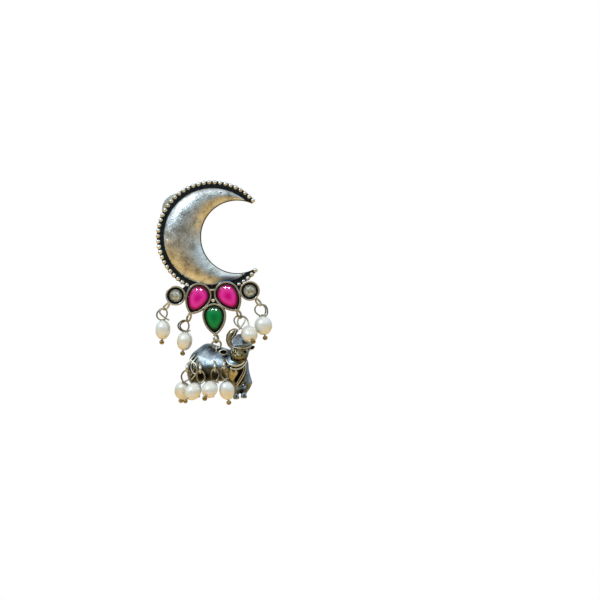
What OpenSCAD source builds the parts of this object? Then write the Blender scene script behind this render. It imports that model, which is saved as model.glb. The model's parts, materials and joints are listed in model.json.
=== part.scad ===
// Chandbali drop earring: silver crescent, five set stones, pearl drops and a cast bull pendant.
// All sizes in millimetres. The ear post runs along Y through the origin, the face looks to -Y.

/* [Crescent] */
// Distance of the crescent's centre to the right of the ear post
rim_x = 8.9; // [8:0.1:10]
// Distance of the crescent's centre below the ear post
rim_drop = 7.1; // [6:0.1:8]
// Radius of the circle that the rim beads sit on
rim_r = 13.6; // [13:0.1:14.4]
// Diameter of a rim bead
rim_bead_d = 1.2; // [1:0.05:1.4]
// Gap between two rim beads
rim_bead_gap = 0.2; // [0.1:0.05:0.5]
// Angle from the crescent's upper point back to its last bead
tip_high_in = 6.9; // [3:0.1:13]
// Angle from the crescent's lower point back to its last bead
tip_low_in = 2.9; // [0:0.1:11]
// Radius of the crescent's mouth
mouth_r = 9.05; // [8.4:0.05:9.4]
// Distance of the mouth's centre to the right of the crescent's centre
mouth_shift = 6.2; // [6:0.1:6.8]
// Thickness of the back plate
plate_t = 0.9; // [0.8:0.05:1.2]
// Height of the domed face over the back plate
dome_h = 2.6; // [2:0.1:3.2]
// Width of the flat band between the dome and the bead circle
band_w = 1.1; // [0.9:0.05:1.4]
// Width of the flat lip along the mouth
lip_w = 0.2; // [0.1:0.05:0.4]

/* [Ear post] */
// Diameter of the ear post
post_d = 0.8; // [0.7:0.05:0.9]
// Length of the ear post behind the plate
post_len = 10; // [9:0.5:11]
// Diameter of the ear nut's disc
nut_d = 8.2; // [7:0.1:9]
// Thickness of the ear nut's disc
nut_t = 0.8; // [0.6:0.1:1.2]
// Length of the ear post that shows behind the ear nut
post_tail = 1.2; // [0.8:0.1:2]
// Diameter of the ear nut's hub
nut_hub_d = 2.4; // [2:0.1:3]
// Length of the ear nut's hub
nut_hub_len = 2; // [1.5:0.1:2.4]

/* [Settings] */
// Distance of the cluster's centre to the right of the crescent's centre
cluster_x = 0.2; // [-0.5:0.1:0.8]
// Distance of the cluster's centre below the circle of the rim beads
cluster_drop = 2.3; // [2:0.1:2.7]
// Tilt of the cluster
cluster_tilt = 3.7; // [0:0.1:6]
// Height of the settings over the back
bezel_h = 2.3; // [2:0.1:2.8]
// Wall of a setting
bezel_wall = 0.35; // [0.3:0.05:0.5]
// Radius of the round settings
round_r = 2.5; // [2.3:0.05:2.6]
// Distance of a round setting beside the cluster's centre
round_x = 9.27; // [9:0.05:9.5]
// Height of a round setting over the cluster's centre
round_up = 1.81; // [1.4:0.05:2.2]
// Radius of the pink pear settings
pink_r = 3; // [2.8:0.05:3.1]
// Distance from the pink pear's round centre to its point
pink_len = 4.95; // [4.6:0.05:5.3]
// Distance of a pink pear beside the cluster's centre
pink_x = 3.45; // [3.3:0.05:3.6]
// Height of a pink pear over the cluster's centre
pink_up = 1.43; // [1.2:0.05:1.6]
// Tilt of a pink pear
pink_tilt = 30; // [24:1:36]
// Radius of the green pear setting
green_r = 2.75; // [2.5:0.05:2.9]
// Distance from the green pear's round centre to its point
green_len = 4.9; // [4.6:0.05:5.2]
// Distance of the green pear under the cluster's centre
green_drop = 3.6; // [3.4:0.05:3.8]
// Radius of the granule between the three pears
granule_r = 0.45; // [0.35:0.05:0.5]

/* [Stones] */
// Height of a pear stone's dome over its setting
stone_rise = 0.8; // [0.5:0.1:1.1]
// Gap round a pear stone
stone_gap = 0.22; // [0.1:0.02:0.3]
// Radius of the faceted round stones
white_r = 1.6; // [1.4:0.05:1.75]
// Radius of a round stone's table
white_table_r = 0.85; // [0.7:0.05:1]
// Height of a round stone's crown
white_crown_h = 0.55; // [0.4:0.05:0.8]
// Height of a round stone's edge and foot
white_foot_h = 0.7; // [0.5:0.05:0.9]

/* [Eyelets and ring] */
// Wire diameter of the eyelets and the jump ring
link_wire = 0.5; // [0.4:0.02:0.55]
// Middle radius of the four side eyelets
eyelet_r = 0.8; // [0.75:0.05:0.95]
// Middle radius of the lowest eyelet
low_eyelet_r = 0.95; // [0.85:0.05:1.05]
// Lean of the lowest eyelet to the right
low_eyelet_lean = 8; // [0:1:12]
// Middle radius of the jump ring
ring_r = 1.1; // [1.05:0.05:1.2]
// Middle radius of the bull's back loop
loop_r = 0.8; // [0.75:0.05:0.9]
// Clearance between two linked wires
link_gap = 0.06; // [0.04:0.01:0.1]

/* [Pearl drops] */
// Diameter of a pearl
pearl_d = 4; // [3.8:0.1:4.1]
// Height of a pearl
pearl_h = 4.8; // [4.6:0.1:5]
// Diameter of the hole through a pearl
pearl_hole_d = 0.5; // [0.46:0.02:0.6]
// Wire diameter of a headpin
pin_wire = 0.36; // [0.3:0.02:0.4]
// Middle radius of a headpin's loop
pin_loop_r = 1.35; // [1.25:0.05:1.4]
// Distance from a linked wire to the middle of its pearl
pin_reach = 5.4; // [5.3:0.05:5.6]
// Extra length of the third headpin, whose pearl rests before the bull's head
pin_extra = 1; // [0.9:0.05:1.1]
// Diameter of the ball end of a headpin
ball_d = 1.3; // [1.1:0.05:1.4]
// Gap between a pearl and the ball that carries it
ball_gap = 0.06; // [0.04:0.01:0.1]

/* [Bull] */
// Size of the cast bull, of which all its masses are shares
bull_size = 10; // [9.8:0.1:10.2]
// Wire diameter of the bull's hooks and of its collar
hook_wire = 0.6; // [0.55:0.01:0.65]
// Middle radius of the bull's hooks
hook_r = 0.8; // [0.75:0.05:0.9]

/* [Hidden] */

// Number of sides of round exact shapes
fine = 64;
// Sides of the cast bull's round masses and of its wire loops
cast_sides = 14;
wire_sides = 6;

// Places of the stones, seen from the front: x to the right, y up
rim_centre = [rim_x, -rim_drop];
cluster_centre = rim_centre + [cluster_x, -rim_r - cluster_drop];
plate_r = rim_r - rim_bead_d / 6;
dome_r = rim_r - band_w;
// The crescent's points, where the mouth meets the plate's edge, and the last beads behind them
point_x = (plate_r * plate_r - mouth_r * mouth_r + mouth_shift * mouth_shift) / (2 * mouth_shift);
point_deg = acos(point_x / plate_r);
tip_high_deg = point_deg + tip_high_in;
tip_low_deg = point_deg + tip_low_in;
bead_span = 360 - tip_low_deg - tip_high_deg;
// Height of the beads' lowest points over the plate's back
bead_level = 0.1;
bead_count = floor(bead_span * PI * rim_r / 180 / (rim_bead_d + rim_bead_gap));
// Height over the back at which the eyelets, the ring and the bull's loop hang
link_level = bezel_h / 2;
// Distance between the middles of two wires that hang on each other
link_reach = link_wire + link_gap;
pin_link_reach = (link_wire + pin_wire) / 2 + link_gap;
nut_back = post_len - post_tail - nut_t - nut_hub_len;
// Depth to which an eyelet is soldered into its setting
solder_in = 0.2;
// Depth of a pear stone's edge below its setting's rim, and the taper of a round stone's foot
stone_edge_in = 0.5;
white_taper = 0.3;

function turn(p, a) = [p.x * cos(a) - p.y * sin(a), p.x * sin(a) + p.y * cos(a)];
function down(a) = [sin(a), -cos(a)];
function placed(p) = cluster_centre + turn(p, cluster_tilt);

round_left = placed([-round_x, round_up]);
round_right = placed([round_x, round_up]);
pink_left = placed([-pink_x, pink_up]);
pink_right = placed([pink_x, pink_up]);
green = placed([0, -green_drop]);

// Eyelets: where each leaves its setting, and its lean from straight down, to the right
eyelet_leans = [-41, -18, 21, 37];
eyelet_starts = [
    round_left + round_r * down(eyelet_leans[0]),
    pink_left + pink_len * down(cluster_tilt - pink_tilt),
    pink_right + pink_len * down(cluster_tilt + pink_tilt),
    round_right + round_r * down(eyelet_leans[3])
];
low_eyelet_start = green + green_len * down(cluster_tilt);
function eyelet_mid(start, lean, r) = start + (r + link_wire / 2 - solder_in) * down(lean);
function eyelet_end(start, lean, r) = eyelet_mid(start, lean, r) + r * down(lean);

// Drops: lean to the right, then how far the loop and the pearl tip to the front; the third rests on
// the bull's head, and its pin is longer
drop_leans = [-5, -9.5, 29, 9];
loop_tips = [0, 0, 15, 0];
drop_tips = [0, 0, 48, 0];
pin_extras = [0, 0, pin_extra, 0];
function drop_hang(i) = eyelet_end(eyelet_starts[i], eyelet_leans[i], eyelet_r);

// Hinge points of the jump ring and of the bull
ring_hang = eyelet_end(low_eyelet_start, low_eyelet_lean, low_eyelet_r);
ring_mid = ring_hang + [0, link_reach - ring_r];
bull_hang = ring_mid - [0, ring_r];
loop_mid = bull_hang + [0, link_reach - loop_r];

// Everything is drawn facing up, x to the right and y up, and then stood upright
module upright() rotate([90, 0, 0]) children();

module at(p, level = 0) translate([p.x, p.y, level]) children();

module wire_ring(r, wire) rotate_extrude($fn = fine) translate([r, 0]) circle(d = wire, $fn = fine);

// Pear outline with its point down: a circle, closed below by two wider arcs
module pear(r, len, inset = 0) {
    side_r = (len * len + r * r) / (2 * r);
    circle(r - inset, $fn = fine);
    intersection() {
        translate([side_r - r, 0]) circle(side_r - inset, $fn = 2 * fine);
        translate([r - side_r, 0]) circle(side_r - inset, $fn = 2 * fine);
        translate([-r, -len]) square([2 * r, len]);
    }
}

module at_pink(side) at(side < 0 ? pink_left : pink_right)
    rotate(cluster_tilt + side * pink_tilt) children();
module at_green() at(green) rotate(cluster_tilt) children();

// Crescent
tip_margin = 2;
module crescent_outline() {
    difference() {
        circle(plate_r, $fn = 3 * fine);
        translate([mouth_shift, 0]) circle(mouth_r, $fn = 2 * fine);
        polygon([
            [0, 0],
            3 * rim_r * turn([1, 0], -tip_low_deg + tip_margin),
            3 * rim_r * turn([1, 0], tip_high_deg - tip_margin)
        ]);
    }
}

// Domed face: ribs across the crescent from its outer edge to its mouth
dome_ribs = 44;
rib_points = 10;
dome_inner_r = mouth_r + lip_w;
tip_x = (dome_r * dome_r - dome_inner_r * dome_inner_r + mouth_shift * mouth_shift) / (2 * mouth_shift);
tip_y = sqrt(dome_r * dome_r - tip_x * tip_x);
outer_sweep = 180 - atan2(tip_y, tip_x);
inner_sweep = 180 - atan2(tip_y, tip_x - mouth_shift);
widest = dome_r - dome_inner_r + mouth_shift;
tip_stop = 0.985;
dome_sink = 0.3;
// How quickly the dome rises with its width, and across a rib
dome_swell = 0.85;
rib_fullness = 0.8;
function outer_point(s) = dome_r * turn([-1, 0], s * outer_sweep);
function inner_point(s) = [mouth_shift, 0] + dome_inner_r * turn([-1, 0], s * inner_sweep);
function rib_height(width) = dome_h * pow(width / widest, dome_swell);
function rib(s) = let (a = outer_point(s), b = inner_point(s), h = rib_height(norm(a - b)))
    concat(
        [[b.x, b.y, -dome_sink], [a.x, a.y, -dome_sink]],
        [for (j = [0 : rib_points]) let (
            t = 180 * j / rib_points,
            p = (a + b) / 2 + (a - b) / 2 * cos(t)
        ) [p.x, p.y, h * pow(sin(t), rib_fullness)]]
    );
module dome() {
    n = rib_points + 3;
    ribs = [for (i = [0 : dome_ribs]) rib(tip_stop * (2 * i / dome_ribs - 1))];
    points = [for (r = ribs) each r];
    sides = [for (i = [0 : dome_ribs - 1], j = [0 : n - 1])
        [i * n + j, i * n + (j + 1) % n, (i + 1) * n + (j + 1) % n, (i + 1) * n + j]];
    first = [for (j = [n - 1 : -1 : 0]) j];
    last = [for (j = [0 : n - 1]) dome_ribs * n + j];
    translate([0, 0, plate_t]) polyhedron(points, concat(sides, [first, last]));
}

module rim_beads()
    for (i = [0 : bead_count]) rotate(tip_high_deg + bead_span * i / bead_count)
        translate([rim_r, 0, rim_bead_d / 2 + bead_level]) rotate([90, 0, 0])
            sphere(d = rim_bead_d, $fn = fine / 2);

// Settings, and the hollow of each, which also cuts the domed face where the two meet
hollow_h = bezel_h + dome_h;
module round_setting() cylinder(r = round_r, h = bezel_h, $fn = fine);
module round_hollow() {
    bottom_r = white_r + link_gap;
    top_r = round_r - bezel_wall;
    translate([0, 0, plate_t]) cylinder(r1 = bottom_r, r2 = top_r, h = bezel_h - plate_t, $fn = fine);
    translate([0, 0, bezel_h - link_gap]) cylinder(r = top_r, h = hollow_h, $fn = fine);
}
module pear_setting(r, len) linear_extrude(bezel_h) pear(r, len);
module pear_hollow(r, len) translate([0, 0, plate_t]) linear_extrude(hollow_h) pear(r, len, bezel_wall);

// Plate behind the settings, which reaches up under the crescent's rim
web_over = 1.6;
web_up = 2 * pink_up + web_over;
module web() linear_extrude(plate_t) polygon([
    round_left, placed([-pink_x - pink_r, web_up]), placed([pink_x + pink_r, web_up]),
    round_right, pink_right, green, pink_left
]);

granule_stem_h = bezel_h - plate_t / 2 - granule_r;
module granule() translate([0, 0, plate_t / 2]) {
    cylinder(r = granule_r * 0.7, h = granule_stem_h, $fn = fine / 2);
    translate([0, 0, granule_stem_h]) sphere(granule_r, $fn = fine / 2);
}

bump_r = 0.35;
module solder_bump() translate([0, 0, bezel_h - 1.2 * bump_r]) sphere(bump_r, $fn = fine / 2);

// Bar between the pink settings, which reaches into both rims
bridge_d = 0.5;
bridge_up = 1.2;
bridge_len = 2 * (pink_x - pink_r + 0.5);
module pink_bridge() translate([-bridge_len / 2, 0, bezel_h - 0.8 * bridge_d]) rotate([0, 90, 0])
    cylinder(d = bridge_d, h = bridge_len, $fn = fine / 2);

module eyelet(start, lean, r) at(eyelet_mid(start, lean, r), link_level)
    rotate(lean) rotate([0, 90, 0]) wire_ring(r, link_wire);

module post() translate([0, 0, -post_len]) cylinder(d = post_d, h = post_len + plate_t / 2, $fn = fine / 2);

module face_and_settings() difference() {
    union() {
        at(rim_centre) {
            linear_extrude(plate_t) crescent_outline();
            dome();
            rim_beads();
        }
        web();
        at(round_left) round_setting();
        at(round_right) round_setting();
        for (side = [-1, 1]) at_pink(side) pear_setting(pink_r, pink_len);
        at_green() pear_setting(green_r, green_len);
    }
    at(round_left) round_hollow();
    at(round_right) round_hollow();
    for (side = [-1, 1]) at_pink(side) pear_hollow(pink_r, pink_len);
    at_green() pear_hollow(green_r, green_len);
}

module frame() color("lightsteelblue") upright() {
    face_and_settings();
    at(cluster_centre) granule();
    for (side = [-1, 1]) at(placed([side * (pink_x + pink_r + round_x - round_r) / 2, pink_up])) solder_bump();
    at(placed([0, pink_up + bridge_up])) rotate(cluster_tilt) pink_bridge();
    for (i = [0 : 3]) eyelet(eyelet_starts[i], eyelet_leans[i], eyelet_r);
    eyelet(low_eyelet_start, low_eyelet_lean, low_eyelet_r);
    post();
}

module ear_nut() color("silver") upright() translate([0, 0, -nut_back]) difference() {
    union() {
        translate([0, 0, -nut_t]) cylinder(d = nut_d, h = nut_t, $fn = fine);
        translate([0, 0, -nut_t - nut_hub_len]) cylinder(d = nut_hub_d, h = nut_hub_len + nut_t / 2, $fn = fine);
    }
    translate([0, 0, -nut_t - nut_hub_len - 1])
        cylinder(d = post_d + 2 * link_gap, h = nut_hub_len + nut_t + 2, $fn = fine);
}

// Stones
module pear_stone(r, len) {
    inset = bezel_wall + stone_gap;
    top = bezel_h + stone_rise;
    mid_shift = (r - len) / 2;
    reach = (r + len) / 2 - inset;
    edge = bezel_h - stone_edge_in;
    dome_radius = (pow(reach, 2) + pow(top - edge, 2)) / (2 * (top - edge));
    intersection() {
        translate([0, 0, plate_t + link_gap]) linear_extrude(bezel_h + stone_rise) pear(r, len, inset);
        translate([0, mid_shift, top - dome_radius]) sphere(dome_radius, $fn = 3 * fine);
    }
}

module round_stone() translate([0, 0, plate_t + link_gap]) {
    cylinder(r1 = white_r - white_taper, r2 = white_r, h = white_foot_h, $fn = 12);
    translate([0, 0, white_foot_h])
        cylinder(r1 = white_r, r2 = white_table_r, h = white_crown_h, $fn = 12);
}

module stone_pink_left() color("deeppink") upright() at_pink(-1) pear_stone(pink_r, pink_len);
module stone_pink_right() color("deeppink") upright() at_pink(1) pear_stone(pink_r, pink_len);
module stone_green() color("seagreen") upright() at_green() pear_stone(green_r, green_len);
module stone_white_left() color("lightgray") upright() at(round_left) round_stone();
module stone_white_right() color("lightgray") upright() at(round_right) round_stone();

// Drops, drawn from the wire that they hang on: the pearl lies pin_reach below it
// The pin bends just under its loop, so a crowded pearl can lean another way than its loop
knuckle = 2 * pin_loop_r - pin_link_reach;
module bent(bend) translate([0, -knuckle, 0]) rotate(bend) translate([0, knuckle, 0]) children();

module pearl(bend = [0, 0, 0], extra = 0) bent(bend) translate([0, -pin_reach - extra, 0])
    rotate([90, 0, 0]) difference() {
        scale([1, 1, pearl_h / pearl_d]) sphere(d = pearl_d, $fn = fine);
        cylinder(d = pearl_hole_d, h = 2 * pearl_h, center = true, $fn = fine);
    }

module headpin(bend = [0, 0, 0], extra = 0) {
    ball_y = -pin_reach - extra - pearl_h / 2 - ball_gap - ball_d / 2;
    translate([0, pin_link_reach - pin_loop_r, 0]) wire_ring(pin_loop_r, pin_wire);
    bent(bend) translate([0, ball_y, 0]) {
        rotate([-90, 0, 0]) cylinder(d = pin_wire, h = -knuckle - ball_y, $fn = fine);
        sphere(d = ball_d, $fn = fine);
    }
}

module drop(i) at(drop_hang(i), link_level) rotate(drop_leans[i]) rotate([-loop_tips[i], 0, 0]) children();
function drop_bend(i) = [loop_tips[i] - drop_tips[i], 0, 0];
module drop_pearl(i) color("ivory") upright() drop(i) pearl(drop_bend(i), pin_extras[i]);
module drop_pin(i) color("darkkhaki") upright() drop(i) headpin(drop_bend(i), pin_extras[i]);

module jump_ring() color("silver") upright() at(ring_mid, link_level) wire_ring(ring_r, link_wire);

// Bull: its masses are measured from the point where it hangs, as x, y, towards the front and radius,
// all in shares of bull_size
rump = [-0.2, -0.14, -0.23, 0.28];
croup = [-0.37, -0.32, -0.17, 0.32];
haunch = [-0.43, -0.52, -0.07, 0.31];
barrel = [-0.08, -0.46, -0.09, 0.36];
flank = [0.2, -0.48, -0.04, 0.34];
chest = [0.38, -0.47, 0.02, 0.31];
shoulder = [0.6, -0.47, -0.03, 0.21];
brisket = [0.37, -0.67, 0.05, 0.17];
neck = [[0.34, -0.28, 0, 0.25], [0.48, -0.27, 0.16, 0.25], [0.54, -0.18, 0.28, 0.17]];
skull = [
    [0.52, 0.29, 0.02, 0.095], [0.8, 0.22, -0.05, 0.08], [0.43, -0.04, 0.3, 0.095], [0.77, 0, 0.23, 0.08],
    [0.62, -0.18, 0.43, 0.095], [0.55, -0.25, 0.35, 0.115], [0.64, -0.16, 0.18, 0.15]
];
horn = [[0.42, 0.06, 0.02, 0.09], [0.35, 0.24, -0.01, 0.095], [0.36, 0.41, 0.01, 0.1], [0.43, 0.44, 0.04, 0.08]];
far_horn = [[0.76, 0.22, -0.06, 0.08], [0.84, 0.34, -0.13, 0.065], [0.8, 0.44, -0.16, 0.04]];
left_ear = [[0.34, -0.06, 0.23, 0.05], [0.2, -0.08, 0.27, 0.075], [0.11, -0.07, 0.28, 0.035]];
right_ear = [[0.79, 0.01, 0.14, 0.05], [0.92, 0.01, 0.11, 0.055], [0.99, 0.05, 0.09, 0.03]];
foreleg = [[0.35, -0.7, 0.09, 0.14], [0.41, -0.92, 0.09, 0.085], [0.48, -1.12, 0.1, 0.07], [0.48, -1.21, 0.14, 0.075]];
raised_leg = [
    [0.69, -0.58, 0, 0.14], [0.84, -0.88, 0.03, 0.095], [0.77, -1.03, 0.04, 0.07], [0.67, -1.13, 0.08, 0.075]
];
hind_leg = [[-0.5, -0.64, -0.08, 0.22], [-0.56, -0.88, -0.13, 0.09], [-0.52, -1.08, -0.15, 0.07], [-0.5, -1.15, -0.12, 0.08]];
far_leg = [[-0.16, -0.58, -0.22, 0.18], [-0.2, -0.88, -0.27, 0.09], [-0.17, -1.08, -0.29, 0.07], [-0.15, -1.15, -0.26, 0.08]];
tail = [[-0.59, -0.19, 0, 0.05], [-0.69, -0.42, 0.11, 0.06], [-0.7, -0.6, 0.09, 0.05], [-0.65, -0.77, 0.07, 0.065]];
// Collar: middle of each band and its radius; the bands face forwards and a little to the right
collar = [[0.51, -0.22, 0.3, 0.2], [0.48, -0.26, 0.19, 0.25]];
collar_turn = 15;
bell = [0.48, -0.53, 0.21, 0.045];

// Hooks of the bull: where the back of each is cast on the body; then the leans of the loop and of the
// pearl to the right, and how far the pearl tips to the front
hook_roots = [[-0.72, -0.49, 0.13], [-0.39, -0.51, 0.2], [-0.03, -0.47, 0.22], [0.2, -0.42, 0.3]];
hook_leans = [-22, 5, 0, 8];
pearl_leans = [-10, -39, -28, 8];
pearl_tips = [-32, 13, 37, -10];

module in_bull(m) translate(bull_size * [m[0], m[1], m[2]]) children();
module on_hook(root) in_bull(root) translate([0, 0, hook_r + hook_wire / 2]) children();
module mass(m) in_bull(m) sphere(bull_size * m[3], $fn = cast_sides);
module lump(masses) hull() for (m = masses) mass(m);
module limb(masses) for (i = [0 : len(masses) - 2]) lump([masses[i], masses[i + 1]]);
module cast_loop(r, wire) rotate_extrude($fn = 16) translate([r, 0]) circle(d = wire, $fn = wire_sides);

module bull_shape() {
    lump([rump, croup, barrel]);
    lump([croup, haunch, barrel]);
    lump([barrel, flank, chest]);
    lump([chest, shoulder]);
    lump([chest, brisket]);
    lump(neck);
    lump(skull);
    for (l = [horn, far_horn, left_ear, right_ear, foreleg, raised_leg, hind_leg, far_leg, tail]) limb(l);
    for (c = collar) in_bull(c) rotate([0, collar_turn, 0]) cast_loop(bull_size * c[3], hook_wire);
    mass(bell);
    for (root = hook_roots) on_hook(root) rotate([0, 90, 0]) cast_loop(hook_r, hook_wire);
}

module bull() color("slategray") upright() at(bull_hang, link_level) {
    bull_shape();
    at(loop_mid - bull_hang) rotate([0, 90, 0]) cast_loop(loop_r, link_wire);
}

module bull_drop(i) at(bull_hang, link_level) on_hook(hook_roots[i]) translate([0, -hook_r, 0])
    rotate(hook_leans[i]) translate([0, (hook_wire - link_wire) / 2, 0]) children();
function bull_bend(i) = [-pearl_tips[i], 0, pearl_leans[i] - hook_leans[i]];
module bull_pearl(i) color("ivory") upright() bull_drop(i) pearl(bull_bend(i));
module bull_pin(i) color("darkkhaki") upright() bull_drop(i) headpin(bull_bend(i));

frame();
ear_nut();
stone_pink_left();
stone_pink_right();
stone_green();
stone_white_left();
stone_white_right();
drop_pearl(0);  // pearl_1
drop_pearl(1);  // pearl_2
drop_pearl(2);  // pearl_3
drop_pearl(3);  // pearl_4
drop_pin(0);  // headpin_1
drop_pin(1);  // headpin_2
drop_pin(2);  // headpin_3
drop_pin(3);  // headpin_4
jump_ring();
bull();
bull_pearl(0);  // bull_pearl_1
bull_pearl(1);  // bull_pearl_2
bull_pearl(2);  // bull_pearl_3
bull_pearl(3);  // bull_pearl_4
bull_pin(0);  // bull_headpin_1
bull_pin(1);  // bull_headpin_2
bull_pin(2);  // bull_headpin_3
bull_pin(3);  // bull_headpin_4
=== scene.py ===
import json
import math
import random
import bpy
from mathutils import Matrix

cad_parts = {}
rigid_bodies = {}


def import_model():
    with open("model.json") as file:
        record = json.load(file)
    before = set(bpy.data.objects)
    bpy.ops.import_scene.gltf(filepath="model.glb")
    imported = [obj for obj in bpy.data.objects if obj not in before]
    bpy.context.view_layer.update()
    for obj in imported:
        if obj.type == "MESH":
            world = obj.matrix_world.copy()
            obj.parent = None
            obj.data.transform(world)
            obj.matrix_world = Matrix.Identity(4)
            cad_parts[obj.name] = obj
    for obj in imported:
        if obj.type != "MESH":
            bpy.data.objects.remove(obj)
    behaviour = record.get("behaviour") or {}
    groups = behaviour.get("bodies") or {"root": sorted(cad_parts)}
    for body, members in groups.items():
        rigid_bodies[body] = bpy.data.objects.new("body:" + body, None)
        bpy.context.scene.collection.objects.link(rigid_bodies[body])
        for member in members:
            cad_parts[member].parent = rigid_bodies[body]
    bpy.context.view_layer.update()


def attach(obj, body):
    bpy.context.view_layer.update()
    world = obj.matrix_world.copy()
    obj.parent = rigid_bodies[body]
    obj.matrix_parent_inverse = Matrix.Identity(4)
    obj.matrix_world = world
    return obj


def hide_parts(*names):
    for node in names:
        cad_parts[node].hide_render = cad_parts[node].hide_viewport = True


bl_info = {
    "name": "Chandbali Earring",
    "version": (1, 0, 0),
    "blender": (4, 5, 0),
    "location": "3D View > Sidebar > Earring",
    "description": "Builds a silver crescent earring with set stones, pearl drops and a cast bull pendant",
    "category": "Add Mesh",
}

import bpy
from bpy.props import FloatProperty, FloatVectorProperty, IntProperty, PointerProperty
from bpy.types import Operator, Panel, PropertyGroup
from mathutils import Euler, Matrix, Vector, noise

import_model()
MM = 0.001


# ---------------------------------------------------------------- places
# Pieces are drawn in millimetres, face up: x to the right, y up the ear, z towards the viewer.
# UPRIGHT stands them up in the frame, where the face looks along -Y.
UPRIGHT = Matrix.Rotation(math.radians(90), 4, "X") @ Matrix.Scale(MM, 4)

RIM_CENTRE = Vector((8.9, -7.1))
CLUSTER = RIM_CENTRE + Vector((0.2, -15.9))
CLUSTER_TILT = 3.7
PLATE = 0.9
SETTING_HEIGHT = 2.3
LINK_LEVEL = SETTING_HEIGHT / 2
LINK_WIRE = 0.5
RING_RADIUS = 1.1
# How far a link's middle hangs below the wire that it runs on, with the small gap between them
LINK_STEP = 0.56
# The post starts inside the plate; the nut's disc sits on it at its own level
POST_RADIUS, POST_LENGTH, POST_ROOT = 0.4, 10.4, 0.4
NUT_RADIUS, NUT_THICK, NUT_LEVEL = 4.1, 0.8, -6.4
# How deep a setting is sunk for its stone, and how far a pear setting's foot stands out
CUP_DEPTH, FLANGE = 1.3, 0.12
# How far a smooth stone's edge sits below its setting's top, and the level of its foot
STONE_SEAT, STONE_FOOT = 0.45, 0.97
# Angles left free of beads at the upper and the lower point of the crescent, in degrees
UPPER_POINT, LOWER_POINT = 42, 38


def turned(point, degrees):
    return Matrix.Rotation(math.radians(degrees), 2) @ Vector(point)


def down(degrees):
    return turned((0, -1), degrees)


def placed(x, y):
    return CLUSTER + turned((x, y), CLUSTER_TILT)


ROUND_LEFT, ROUND_RIGHT = placed(-9.27, 1.81), placed(9.27, 1.81)
PINK_LEFT, PINK_RIGHT = placed(-3.45, 1.43), placed(3.45, 1.43)
GREEN = placed(0, -3.6)
ROUND_R, PINK_R, PINK_LEN, GREEN_R, GREEN_LEN = 2.5, 3.0, 4.95, 2.75, 4.9
# Pear settings: middle, turn, radius, length to the point, level of the back, stone and glass. Each back
# lies a little in from the last, as separate soldered cups do
PEARS = [
    (PINK_LEFT, CLUSTER_TILT - 30, PINK_R, PINK_LEN, 0.03, "pink_left", "pink"),
    (PINK_RIGHT, CLUSTER_TILT + 30, PINK_R, PINK_LEN, 0.06, "pink_right", "pink"),
    (GREEN, CLUSTER_TILT, GREEN_R, GREEN_LEN, 0.09, "green", "green"),
]
ROUND_BACK = 0.12
# Eyelets: where each starts, the way it leans and its radius
EYELETS = [
    (ROUND_LEFT + ROUND_R * down(-41), -41, 0.8),
    (PINK_LEFT + PINK_LEN * down(CLUSTER_TILT - 30), -18, 0.8),
    (PINK_RIGHT + PINK_LEN * down(CLUSTER_TILT + 30), 21, 0.8),
    (ROUND_RIGHT + ROUND_R * down(37), 37, 0.8),
    (GREEN + GREEN_LEN * down(CLUSTER_TILT), 8, 0.95),
]


def eyelet_middle(start, lean, radius):
    return start + (radius + LINK_WIRE / 2 - 0.2) * down(lean)


def hanging_point(number):
    start, lean, radius = EYELETS[number]
    return eyelet_middle(start, lean, radius) + radius * down(lean)


RING_MIDDLE = hanging_point(4) + Vector((0, LINK_STEP - RING_RADIUS))
BULL_HANG = RING_MIDDLE - Vector((0, RING_RADIUS))


# The photograph's 600 pixels of 0.25 mm each, from 0.6 m away
CAMERA_PLACE = (0.03075, -0.6, -0.022875)
CAMERA_LENS, CAMERA_SENSOR = 144, 36
FLOOR_RADIUS = 0.8


# ---------------------------------------------------------------- modelling helpers
def only(*pieces):
    bpy.ops.object.select_all(action="DESELECT")
    for piece in pieces:
        piece.select_set(True)
    bpy.context.view_layer.objects.active = pieces[0]


def added(operator, **settings):
    """Adds a primitive on its own and returns it."""
    bpy.ops.object.select_all(action="DESELECT")
    operator(**settings)
    return bpy.context.view_layer.objects.active


def pick(piece, kind, test):
    """Enters edit mode with the parts of that kind whose middle passes the test."""
    only(piece)
    bpy.ops.object.mode_set(mode="EDIT")
    bpy.ops.mesh.select_mode(type=kind)
    bpy.ops.mesh.select_all(action="DESELECT")
    bpy.ops.object.mode_set(mode="OBJECT")
    mesh = piece.data
    if kind == "FACE":
        for face in mesh.polygons:
            face.select = test(face.center, face.normal)
    elif kind == "EDGE":
        for edge in mesh.edges:
            ends = [mesh.vertices[i].co for i in edge.vertices]
            edge.select = test((ends[0] + ends[1]) / 2, ends[1] - ends[0])
    else:
        for vertex in mesh.vertices:
            vertex.select = test(vertex.co, vertex.normal)
    bpy.ops.object.mode_set(mode="EDIT")


def done():
    bpy.ops.object.mode_set(mode="OBJECT")


def modify(piece, kind, **settings):
    only(piece)
    modifier = piece.modifiers.new(kind.title(), kind)
    for name, value in settings.items():
        setattr(modifier, name, value)
    bpy.ops.object.modifier_apply(modifier=modifier.name)


def bevel(piece, width, segments, angle=30):
    modify(piece, "BEVEL", width=width, segments=segments, limit_method="ANGLE",
        angle_limit=math.radians(angle))


def cut(piece, cutter):
    """Takes the cutter out of the piece and drops the cutter."""
    modify(piece, "BOOLEAN", operation="DIFFERENCE", object=cutter, solver="EXACT")
    bpy.data.objects.remove(cutter)


def extrude(height):
    """Extrudes along z what is selected in edit mode."""
    bpy.ops.mesh.extrude_region_move(TRANSFORM_OT_translate={"value": (0, 0, height)})


def face_outwards():
    """Turns all faces outwards and leaves edit mode."""
    bpy.ops.mesh.select_all(action="SELECT")
    bpy.ops.mesh.normals_make_consistent(inside=False)
    done()


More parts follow.
